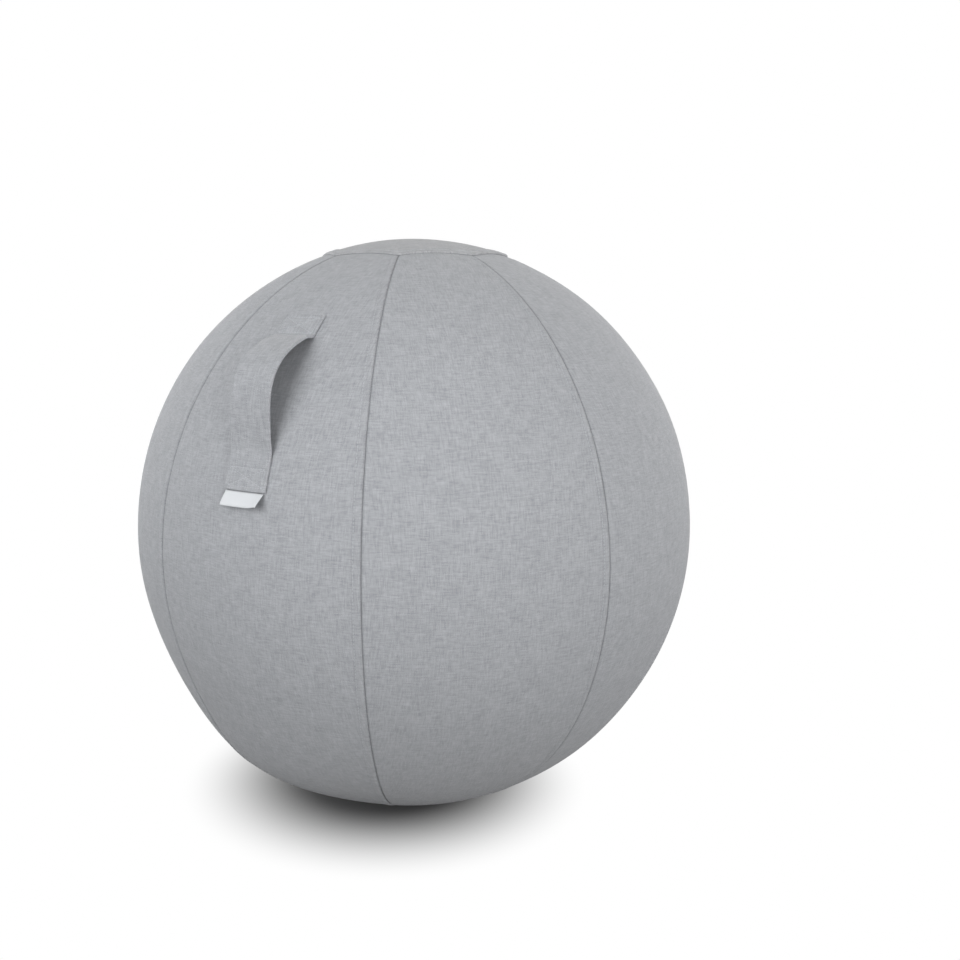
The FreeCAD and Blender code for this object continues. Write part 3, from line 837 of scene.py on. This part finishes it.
def hem_stitches(name, node, side):
    """The stitches round a cap, one run to each side."""
    bm = bmesh.new()
    apothem = CAP_APOTHEM - HEM_STITCH_INSET
    half = apothem * math.tan(GORE_ANGLE / 2) - HEM_STITCH_END
    for number in range(GORE_COUNT):
        def place(distance):
            longitude = number * GORE_ANGLE + math.atan2(distance - half, apothem)
            return cap_place(apothem, longitude, HEM_STITCH_LIFT, side)

        stitch_run(bm, place, 2 * half)
    finished(name, bm, "ball", thread_material(), [node])


class SittingBallCaps(bpy.types.Operator):
    """Makes the eight-sided cap, the base panel below and the stitches of their hems"""

    bl_idname = "sitting_ball.caps"
    bl_label = "Cap and base panel"

    def execute(self, context):
        colours = sizes("colours")
        linen = cloth_material("cap linen", colours.cap, colours.cap_dark, contrast=3.8)
        canvas = cloth_material("base canvas", colours.base, tinted(colours.base, 0.6),
                                yarns=800.0, sheen=0.1)
        cap_piece("cap", "top_cap", linen, 1)
        hem_stitches("cap_stitches", "top_cap_stitching", 1)
        cap_piece("base", "base_panel", canvas, -1)
        hem_stitches("base_stitches", "base_panel_stitching", -1)
        return {"FINISHED"}


# The strap, in metres: the gap of air between two layers of cloth, and the strap's slack shape

PLY = 0.0001
STRAP_COLUMNS = 44
STRAP_ROWS = 240
STRAP_STEP = 0.002
STRAP_SPREAD = (-2, -1, 0, 1, 2)
LOOSE_FROM = 0.006
LOOSE_CROWN = 0.0010
LOOSE_CURL = 0.0020
CURL_FROM = 0.2
STITCH_DIP_WIDTH = 0.0016
FOLDED_EDGE = 0.0011
STRAP_SHIFT = 0.11
BLEND_DEPTH = 0.005


def strap_latitudes():
    """The latitudes of the strap's top, its two folds and its foot."""
    under = BALL_RADIUS + PLY
    over = under + sizes("strap").thickness
    low, high = box("handle_upper_end")
    foot_low, foot_high = box("handle_lower_end")
    return (latitude_of(high.z, over), latitude_of(low.z, under),
            latitude_of(foot_high.z, over), latitude_of(foot_low.z, under))


def strap_lift(latitude):
    """How far the strap's underside stands off the cover."""
    strap = sizes("strap")
    _, upper, lower, _ = strap_latitudes()
    crown = along(upper, strap.crown_distance)
    if latitude >= upper or latitude <= lower:
        return 0.0
    if latitude >= crown:
        return strap.stand_off * math.sin(math.pi / 2 * (upper - latitude) / (upper - crown))
    fall = 0.5 + 0.5 * math.cos(math.pi * (crown - latitude) / (crown - lower))
    return strap.stand_off * fall ** strap.lower_fullness


def box_lines(north, south):
    """The six lines of a sewn box with its cross, between two latitudes of the strap."""
    strap = sizes("strap")
    half = strap.width / 2 - strap.box_inset
    high = along(north, strap.box_inset)
    low = along(south, -strap.box_inset)
    corners = [(-half, high), (half, high), (half, low), (-half, low)]
    sides = list(zip(corners, corners[1:] + corners[:1]))
    return sides + [(corners[0], corners[2]), (corners[1], corners[3])]


def off_line(across, latitude, start, finish):
    """How far a point of the strap is from a line of stitches."""
    run = Vector((finish[0] - start[0], (finish[1] - start[1]) * REACH))
    spot = Vector((across - start[0], (latitude - start[1]) * REACH))
    share = min(max(spot.dot(run) / run.length_squared, 0.0), 1.0)
    return (spot - run * share).length


def stitch_dip(across, latitude):
    """How deep the sewn boxes pull the strap in at a point."""
    top, upper, lower, foot = strap_latitudes()
    if lower < latitude < upper:
        return 0.0
    lines = box_lines(top, upper) if latitude >= upper else box_lines(lower, foot)
    near = min(off_line(across, latitude, *line) for line in lines)
    return sizes("strap").stitch_pull * hump(near, 0, STITCH_DIP_WIDTH)


def strap_place(across, latitude, height):
    """A point of the strap at a height between its underside, 0, and its top, 1."""
    strap = sizes("strap")

    def lift_near(middle):
        lifts = [strap_lift(middle + turn * STRAP_STEP) for turn in STRAP_SPREAD]
        return sum(lifts) / len(lifts)

    soft = lift_near(latitude)
    spot = cover_point(0, latitude, PLY + soft)
    below = latitude - STRAP_STEP
    run = cover_point(0, below, PLY + lift_near(below)) - spot
    normal = Vector((0, run.z, -run.y)).normalized()
    half = strap.width / 2
    loose = smooth(0.0, LOOSE_FROM, soft)
    lie = cover_point(beside(0, latitude, across), latitude, PLY)
    drop = (cover_point(0, latitude, PLY) - lie) * (1 - loose)
    crown = LOOSE_CROWN * loose * (1 - (across / half) ** 2)
    curl = LOOSE_CURL * loose * smooth(CURL_FROM, 1.0, across / half)
    spot = spot + Vector((across, 0, 0)) - Vector((0, drop.y, drop.z))
    return spot + normal * (strap.thickness * height + crown + curl), normal


class SittingBallHandle(bpy.types.Operator):
    """Makes the handle's strap in one length, and the sewn boxes that hold its two ends"""

    bl_idname = "sitting_ball.handle"
    bl_label = "Handle"

    def execute(self, context):
        strap = sizes("strap")
        top, upper, lower, foot = strap_latitudes()

        def place(x, y):
            across = strap.width / 2 * x
            latitude = foot + (top - foot) * (y + 1) / 2
            spot, normal = strap_place(across, latitude, 0.5)
            return spot - normal * stitch_dip(across, latitude)

        def flat(x, y):
            return (strap.width / 2 * x + STRAP_SHIFT, (top - foot) * REACH * (y + 1) / 2)

        bm = cloth_grid(STRAP_COLUMNS, STRAP_ROWS, place, flat)
        face_out(bm)
        colours = sizes("colours")
        cloth = cloth_material("strap linen", colours.cloth, colours.cloth_dark, yarns=1000.0,
                               contrast=4.0)
        piece = finished("handle_strap", bm, None, cloth,
                         ["handle_upper_end", "handle_loop", "handle_lower_end"])
        thicken(piece, strap.thickness, 0.0)
        rounded(piece, FOLDED_EDGE, 3, 50)
        applied(piece)
        middle = (upper + lower) / 2
        ball_point(0, middle, BALL_RADIUS - BLEND_DEPTH)
        ball_point(0, middle, BALL_RADIUS + strap.stand_off)
        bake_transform(piece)
        self.sewn_box("handle_upper_stitches", "handle_upper_stitching", top, upper)
        self.sewn_box("handle_lower_stitches", "handle_lower_stitching", lower, foot)
        return {"FINISHED"}

    def sewn_box(self, name, node, north, south):
        bm = bmesh.new()
        for start, finish in box_lines(north, south):
            run = math.hypot(finish[0] - start[0], (finish[1] - start[1]) * REACH)

            def place(distance):
                share = distance / run
                across = start[0] + (finish[0] - start[0]) * share
                latitude = start[1] + (finish[1] - start[1]) * share
                spot, normal = strap_place(across, latitude, 1.0)
                return spot - normal * sizes("strap").stitch_pull, normal

            stitch_run(bm, place, run, sizes("thread").box_pitch)
        finished(name, bm, "ball", thread_material(), [node])


# The tag, in metres and radians: its height, the gap between its two plies, its lean and its waves

TAG_TILT = math.radians(22)
TAG_DROP = 0.0160
TAG_PLY = 0.0006
TAG_THICKNESS = 0.0003
TAG_HINGE_LIFT = 0.0008
TAG_TWIST = 0.16
TAG_TWIST_FROM = 0.2
TAG_BOW = 0.0009
TAG_CORNER = 0.0016
TAG_CORNER_FROM = 0.3
TAG_COLUMNS = 30
TAG_ROWS = 44
TAG_SHIFT = 0.4


class SittingBallTag(bpy.types.Operator):
    """Folds the blank ribbon tag under the strap's foot"""

    bl_idname = "sitting_ball.tag"
    bl_label = "Blank tag"

    def execute(self, context):
        hinge = Vector(joint("tag_flap")["pos_m"])
        low, high = box("blank_tag")
        half = (high.x - low.x) / 2
        latitude = latitude_of(hinge.z, BALL_RADIUS + TAG_HINGE_LIFT)
        down = Vector((0, -math.sin(latitude), -math.cos(latitude)))
        normal = outward(0, latitude)

        def place(x, y):
            share = 1 - abs(y)
            side = 1 if y > 0 else -1
            lean = TAG_TILT + TAG_TWIST * x * smooth(TAG_TWIST_FROM, 1.0, x)
            reach = TAG_DROP * math.sin(share * math.pi / 2) ** 0.9
            direction = down * math.cos(lean) + normal * math.sin(lean)
            across = normal * math.cos(lean) - down * math.sin(lean)
            gap = TAG_PLY / 2 * side * min(1.0, 2.2 * (1 - share) ** 0.5)
            bow = TAG_BOW * math.sin(math.pi * share)
            bow += TAG_CORNER * smooth(TAG_CORNER_FROM, 1.0, x) * share
            return hinge + direction * reach + across * (gap + bow) + Vector((half * x, 0, 0))

        def flat(x, y):
            return (half * x + TAG_SHIFT, TAG_DROP * y)

        bm = cloth_grid(TAG_COLUMNS, TAG_ROWS, place, flat)
        bmesh.ops.recalc_face_normals(bm, faces=bm.faces[:])
        ribbon = sizes("colours").ribbon
        cloth = cloth_material("tag ribbon", ribbon, tinted(ribbon, 0.86), yarns=3200.0,
                               contrast=0.5, sheen=0.1, relief=0.00008)
        piece = finished("tag", bm, "tag", cloth, ["blank_tag"])
        thicken(piece, TAG_THICKNESS, 0.0)
        return {"FINISHED"}


# The zip, in metres

COVER = 0.0012
TAPE_TOP = BALL_RADIUS - COVER - PLY
TAPE_THICKNESS = 0.0006
COIL_HALF_GAP = 0.0007
COIL_LIFT = 0.0010
TOOTH_MIDDLE = 0.00165
TOOTH_SIZE = (0.0019, 0.00125, 0.0024)
TOOTH_STAGGER = 0.25
TAPE_COLUMNS = 10
TAPE_ROWS = 120


class SittingBallZip(bpy.types.Operator):
    """Makes the zip's tapes, teeth, stitches, slider and pull"""

    bl_idname = "sitting_ball.zip"
    bl_label = "Zip"

    def execute(self, context):
        for side, name in ((-1, "west"), (1, "east")):
            self.tape(side, name)
            self.teeth(side, name)
        self.stitches()
        metal = worn_material("zip metal", sizes("colours").metal, metallic=0.85)
        for name in ("zip_top_stops", "zip_bottom_stop"):
            dress(name, metal)
        for name, body, width in (("zip_slider_body", "zip_slider", 0.00018),
                                  ("zip_slider_bridge", "zip_slider", 0.00015),
                                  ("zip_pull", "zip_pull", 0.00025)):
            self.softened(name, body, width, metal)
        return {"FINISHED"}

    def tape(self, side, name):
        node = "zip_tape_" + name
        top, foot = ends(node, TAPE_TOP)
        wide = sizes("zip").tape_width

        def place(x, y):
            across = side * (COIL_HALF_GAP + (wide - COIL_HALF_GAP) * (x + 1) / 2)
            latitude = foot + (top - foot) * (y + 1) / 2
            return ball_point(beside(ZIP_LONGITUDE, latitude, across), latitude, TAPE_TOP)

        def flat(x, y):
            return (wide / 2 * x, (top - foot) * BALL_RADIUS * (y + 1) / 2)

        bm = cloth_grid(TAPE_COLUMNS, TAPE_ROWS, place, flat)
        face_out(bm)
        tone = tinted(sizes("colours").cloth, 0.78)
        cloth = cloth_material("zip tape weave", tone, tinted(tone, 0.6), yarns=2600.0,
                               contrast=0.7, relief=0.0001)
        piece = finished("zip_tape_cloth_" + name, bm, "ball", cloth, [node])
        thicken(piece, TAPE_THICKNESS)

    def teeth(self, side, name):
        node = "zip_coil_" + name
        layer = TAPE_TOP + COIL_LIFT
        top, foot = ends(node, layer)
        pitch = sizes("zip").tooth_pitch
        turns = []
        for number in range(int((top - foot) * REACH / pitch) - 1):
            latitude = along(top, (number + 0.5 + TOOTH_STAGGER * side) * pitch)
            longitude = beside(ZIP_LONGITUDE, latitude, side * TOOTH_MIDDLE)
            up = outward(longitude, latitude)
            east = Vector((math.cos(longitude), math.sin(longitude), 0))
            turns.append(capsule_turn(ball_point(longitude, latitude, layer),
                                      up * TOOTH_SIZE[0], up.cross(east) * TOOTH_SIZE[1],
                                      east * TOOTH_SIZE[2]))
        bm = bmesh.new()
        capsules(bm, turns, 8, 5)
        plastic = worn_material("zip coil", tinted(sizes("colours").cloth, 0.62), depth=0.2)
        finished("zip_teeth_" + name, bm, "ball", plastic, [node])

    def stitches(self):
        top, foot = ends("zip_stitching")
        zip_sizes = sizes("zip")
        offset = (zip_sizes.slot / 2 + zip_sizes.tape_width) / 2
        bm = bmesh.new()
        for side in (-1, 1):
            def place(distance):
                latitude = along(top, distance)
                longitude = beside(ZIP_LONGITUDE, latitude, side * offset)
                lift = seam_relief(offset - zip_sizes.slot / 2, latitude, side < 0)
                return cover_point(longitude, latitude, lift), outward(longitude, latitude)

            stitch_run(bm, place, (top - foot) * REACH)
        finished("zip_seam_stitches", bm, "ball", thread_material(),
                 ["zip_stitching"])

    def softened(self, node, body, width, material):
        """A copy of a rigid node with its sharp edges rounded."""
        bm = bmesh.new()
        bm.from_mesh(frame["nodes"][node].data)
        bmesh.ops.remove_doubles(bm, verts=bm.verts[:], dist=MERGE_DISTANCE)
        bmesh.ops.dissolve_limit(bm, angle_limit=math.radians(1), verts=bm.verts[:],
                                 edges=bm.edges[:])
        piece = finished(node + "_finished", bm, body, material, [node], False)
        rounded(piece, width, 2, 35)


def dress(node, material):
    """Gives a CAD node its finish."""
    mesh = frame["nodes"][node].data
    mesh.materials.clear()
    mesh.materials.append(material)


# The weighted ring, in metres: its make and its distance from the ball's axis

RING_GAP = 0.0004
RING_DEPTH = 0.0137
RING_PANELS = 12
RING_DENT = 0.35
RING_DENT_WIDTH = 0.05
RING_SEGMENTS = 36
RING_STEPS = 180
RING_TUBE = 0.25
RING_LEAST = 0.0002
RING_MIDDLE = 0.158
RING_HALF_WIDTH = 0.04
FILLING_INSET = 0.0012
PATCH_COLUMNS = 16
PATCH_ROWS = 12


class SittingBallInside(bpy.types.Operator):
    """Finishes what the cover hides: the ball, its plug, the weighted ring and the patches"""

    bl_idname = "sitting_ball.inside"
    bl_label = "Inside"

    def execute(self, context):
        colours = sizes("colours")
        dress("inner_ball", worn_material("ball vinyl", colours.vinyl, grain=500.0))
        dress("valve_plug", worn_material("valve plastic", colours.valve))
        lining = tinted(colours.cloth, 0.7)
        cloth = cloth_material("lining", lining, tinted(lining, 0.7), yarns=1700.0)
        tube = self.ring("weight_ring", "weight_ring_casing", "lining_fabric", cloth, 0.0)
        grains = worn_material("ring grains", colours.grains, grain=420.0, depth=0.6,
                               relief=0.0006)
        self.ring("weight_ring_grains", "weight_ring_filling", "ring_grains", grains,
                  FILLING_INSET)
        for name in ("upper", "lower"):
            self.patch("handle_%s_reinforcement" % name, cloth)
        return {"FINISHED"}

    def ring(self, name, node, slot, material, inset):
        """A quilted tube that lies in the cover's foot, some way inside the casing's outside."""
        outer = BALL_RADIUS - 2 * COVER - RING_GAP
        upper, lower = ends("weight_ring_casing", outer)
        half = (upper - lower) / 2 - 2 * inset
        bm = bmesh.new()
        bmesh.ops.create_circle(bm, segments=RING_SEGMENTS, radius=1.0)
        for vert in bm.verts:
            vert.co = (1 + vert.co.x * RING_TUBE, 0, vert.co.y)
        spun(bm, RING_STEPS)
        lay_flat(bm, lambda corner: (math.atan2(corner.x, -corner.y) * RING_MIDDLE,
                                     corner.z * RING_HALF_WIDTH))
        for vert in bm.verts:
            longitude = math.atan2(vert.co.x, -vert.co.y)
            inward = (1 - (math.hypot(vert.co.x, vert.co.y) - 1) / RING_TUBE) / 2
            latitude = (upper + lower) / 2 + vert.co.z * half
            panel = (longitude * RING_PANELS / math.tau) % 1.0
            quilt = 1 - RING_DENT * hump(panel, 0.5, RING_DENT_WIDTH)
            thick = max(RING_DEPTH * (1 - vert.co.z ** 2) * quilt - 2 * inset, RING_LEAST)
            vert.co = ball_point(longitude, latitude, outer - inset - thick * inward)
        bmesh.ops.recalc_face_normals(bm, faces=bm.faces[:])
        return finished(name, bm, "ball", material, [node])

    def patch(self, node, cloth):
        low, high = box(node)
        layer = BALL_RADIUS - COVER - PLY
        top = latitude_of(high.z, layer)
        foot = latitude_of(low.z, layer - COVER)
        half = (high.x - low.x) / 2

        def place(x, y):
            latitude = foot + (top - foot) * (y + 1) / 2
            return ball_point(beside(0, latitude, half * x), latitude, layer)

        def flat(x, y):
            return (half * x, (top - foot) * BALL_RADIUS * (y + 1) / 2)

        bm = cloth_grid(PATCH_COLUMNS, PATCH_ROWS, place, flat)
        face_out(bm)
        piece = finished(node + "_cloth", bm, "ball", cloth, [node])
        thicken(piece, COVER)
        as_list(GORE_NAMES[:1])


# The stage. A light has a bearing and a rise in degrees, a distance and a width in metres, a
# power in watts and a colour. The painted shadow's middle and its two radii are in metres

CAMERA_AZIMUTH = math.radians(31.2)
CAMERA_DISTANCE = 1.334
CAMERA_RISE = 0.2856
CAMERA_PITCH = math.radians(5.0)
CAMERA_LENS = 41.85
CAMERA_SENSOR = 36.0
CAMERA_SHIFT = (0.0688, -0.1084)
LIGHTS = [
    ("key", -44, 20, 2.4, 1.6, 36.0, (0.98, 0.99, 1.0)),
    ("front", 42, 2, 2.6, 2.2, 64.0, (1.0, 1.0, 1.0)),
    ("back left", -138, 14, 2.6, 2.0, 30.0, (1.0, 1.0, 1.0)),
    ("back right", 138, 14, 2.6, 2.0, 30.0, (1.0, 1.0, 1.0)),
]
AMBIENT = 0.37
# The floor's own dark colour, which also gives the painted shadow its darkness where the camera
# sees it.
FLOOR_AND_SHADOW_TONE = (0.16, 0.16, 0.16, 1)
FLOOR_AND_SHADOW_TONE_PALER = (0.18, 0.18, 0.18, 1)
FLOOR_RADIUS = 9.0
SHADOW_MIDDLE = (-0.03, -0.018, 0.0)
SHADOW_INNER = 0.09
SHADOW_OUTER = 0.25


class SittingBallStage(bpy.types.Operator):
    """Sets the floor, the pale surroundings, the soft lights and the camera"""

    bl_idname = "sitting_ball.stage"
    bl_label = "Stage"

    def execute(self, context):
        self.floor()
        self.surroundings(context.scene)
        for values in LIGHTS:
            self.light(*values)
        self.camera(context.scene)
        context.scene.view_settings.view_transform = "Standard"
        return {"FINISHED"}

    def floor(self):
        bm = bmesh.new()
        bmesh.ops.create_circle(bm, cap_ends=True, segments=96, radius=FLOOR_RADIUS)
        floor = finished("floor", bm, None, self.floor_material())

    def floor_material(self):
        """Plain matt floor with a painted shadow: the camera sees it turn white outside a set ring
        round the ball's foot.
        """
        material, board, shader = new_material("pale floor")
        shader["Roughness"].default_value = 0.9
        shader["Specular IOR Level"].default_value = 0.0
        place = board.add("ShaderNodeTexCoord").outputs["Object"]
        grain = board.noise(place, scale=300.0, detail=3.0)
        board.feed(board.mix(grain, FLOOR_AND_SHADOW_TONE, FLOOR_AND_SHADOW_TONE_PALER), shader["Base Color"])
        # Painted shadow: inside this ring round a set middle the camera sees the dark floor,
        # beyond it plain white.
        away = board.add("ShaderNodeVectorMath", operation="DISTANCE")
        board.feed(place, away.inputs[0])
        board.feed(SHADOW_MIDDLE, away.inputs[1])
        far = board.add("ShaderNodeMapRange", interpolation_type="SMOOTHSTEP")
        board.feed(away.outputs["Value"], far.inputs["Value"])
        far.inputs["From Min"].default_value = SHADOW_INNER
        far.inputs["From Max"].default_value = SHADOW_OUTER
        seen = board.add("ShaderNodeLightPath").outputs["Is Camera Ray"]
        white = board.add("ShaderNodeEmission")
        white.inputs["Strength"].default_value = 1.0
        blend = board.add("ShaderNodeMixShader")
        surface = material.node_tree.nodes["Principled BSDF"].outputs[0]
        board.feed(board.math("MULTIPLY", far.outputs[0], seen), blend.inputs[0])
        board.feed(surface, blend.inputs[1])
        board.feed(white.outputs[0], blend.inputs[2])
        board.feed(blend.outputs[0], material.node_tree.nodes["Material Output"].inputs[0])
        return material

    def surroundings(self, scene):
        world = bpy.data.worlds.new("pale surroundings")
        scene.world = world
        world.use_nodes = True
        board = Board(world.node_tree)
        path = board.add("ShaderNodeLightPath").outputs
        plain = board.math("MAXIMUM", path["Is Camera Ray"],
                           board.math("MAXIMUM", path["Is Glossy Ray"],
                                      path["Is Transmission Ray"]))
        background = world.node_tree.nodes["Background"]
        background.inputs["Color"].default_value = (1, 1, 1, 1)
        board.feed(board.blend(plain, AMBIENT, 1.0), background.inputs["Strength"])

    def light(self, name, bearing, rise, distance, width, power, tone):
        """A square soft light, placed by its bearing from the camera's side of the ball."""
        lamp = bpy.data.lights.new(name, "AREA")
        lamp.size = width
        lamp.energy = power
        lamp.color = tone
        holder = bpy.data.objects.new(name, lamp)
        bpy.context.scene.collection.objects.link(holder)
        back = outward(CAMERA_AZIMUTH + math.radians(bearing), math.radians(rise))
        holder.location = Vector((0, 0, CENTRE_HEIGHT)) + back * distance
        holder.rotation_mode = "QUATERNION"
        holder.rotation_quaternion = back.to_track_quat("Z", "Y")

    def camera(self, scene):
        lens = bpy.data.cameras.new("camera")
        lens.lens = CAMERA_LENS
        lens.sensor_width = CAMERA_SENSOR
        lens.shift_x, lens.shift_y = CAMERA_SHIFT
        holder = bpy.data.objects.new("camera", lens)
        scene.collection.objects.link(holder)
        holder.location = (math.sin(CAMERA_AZIMUTH) * CAMERA_DISTANCE,
                           -math.cos(CAMERA_AZIMUTH) * CAMERA_DISTANCE,
                           CENTRE_HEIGHT + CAMERA_RISE)
        holder.rotation_euler = (math.pi / 2 - CAMERA_PITCH, 0, CAMERA_AZIMUTH)
        scene.camera = holder


class SittingBallPanel(bpy.types.Panel):
    """Lists the steps and the sizes of the sitting ball"""

    bl_idname = "VIEW3D_PT_sitting_ball"
    bl_label = "Sitting ball"
    bl_space_type = "VIEW_3D"
    bl_region_type = "UI"
    bl_category = "Sitting ball"

    def draw(self, context):
        for step in STEPS:
            self.layout.operator(step.bl_idname)
        for name, group in GROUPS.items():
            part = self.layout.box()
            part.label(text=name.capitalize())
            for field in group.__annotations__:
                part.prop(sizes(name), field)


STEPS = [SittingBallGores, SittingBallTopstitch, SittingBallCaps, SittingBallHandle,
         SittingBallTag, SittingBallZip, SittingBallInside, SittingBallStage]
GROUPS = {"cover": CoverSizes, "strap": StrapSizes, "thread": ThreadSizes, "zip": ZipSizes,
          "colours": Colours}


def register():
    for group in GROUPS.values():
        bpy.utils.register_class(group)
    for name, group in GROUPS.items():
        setattr(bpy.types.Scene, "sitting_ball_" + name, bpy.props.PointerProperty(type=group))
    for step in STEPS:
        bpy.utils.register_class(step)
    bpy.utils.register_class(SittingBallPanel)


def unregister():
    bpy.utils.unregister_class(SittingBallPanel)
    for step in reversed(STEPS):
        bpy.utils.unregister_class(step)
    for name, group in GROUPS.items():
        delattr(bpy.types.Scene, "sitting_ball_" + name)
        bpy.utils.unregister_class(group)


def main():
    register()
    bpy.ops.sitting_ball.gores()
    bpy.ops.sitting_ball.topstitch()
    bpy.ops.sitting_ball.caps()
    bpy.ops.sitting_ball.handle()
    bpy.ops.sitting_ball.tag()
    bpy.ops.sitting_ball.zip()
    bpy.ops.sitting_ball.inside()
    bpy.ops.sitting_ball.stage()


if __name__ == "__main__":
    main()
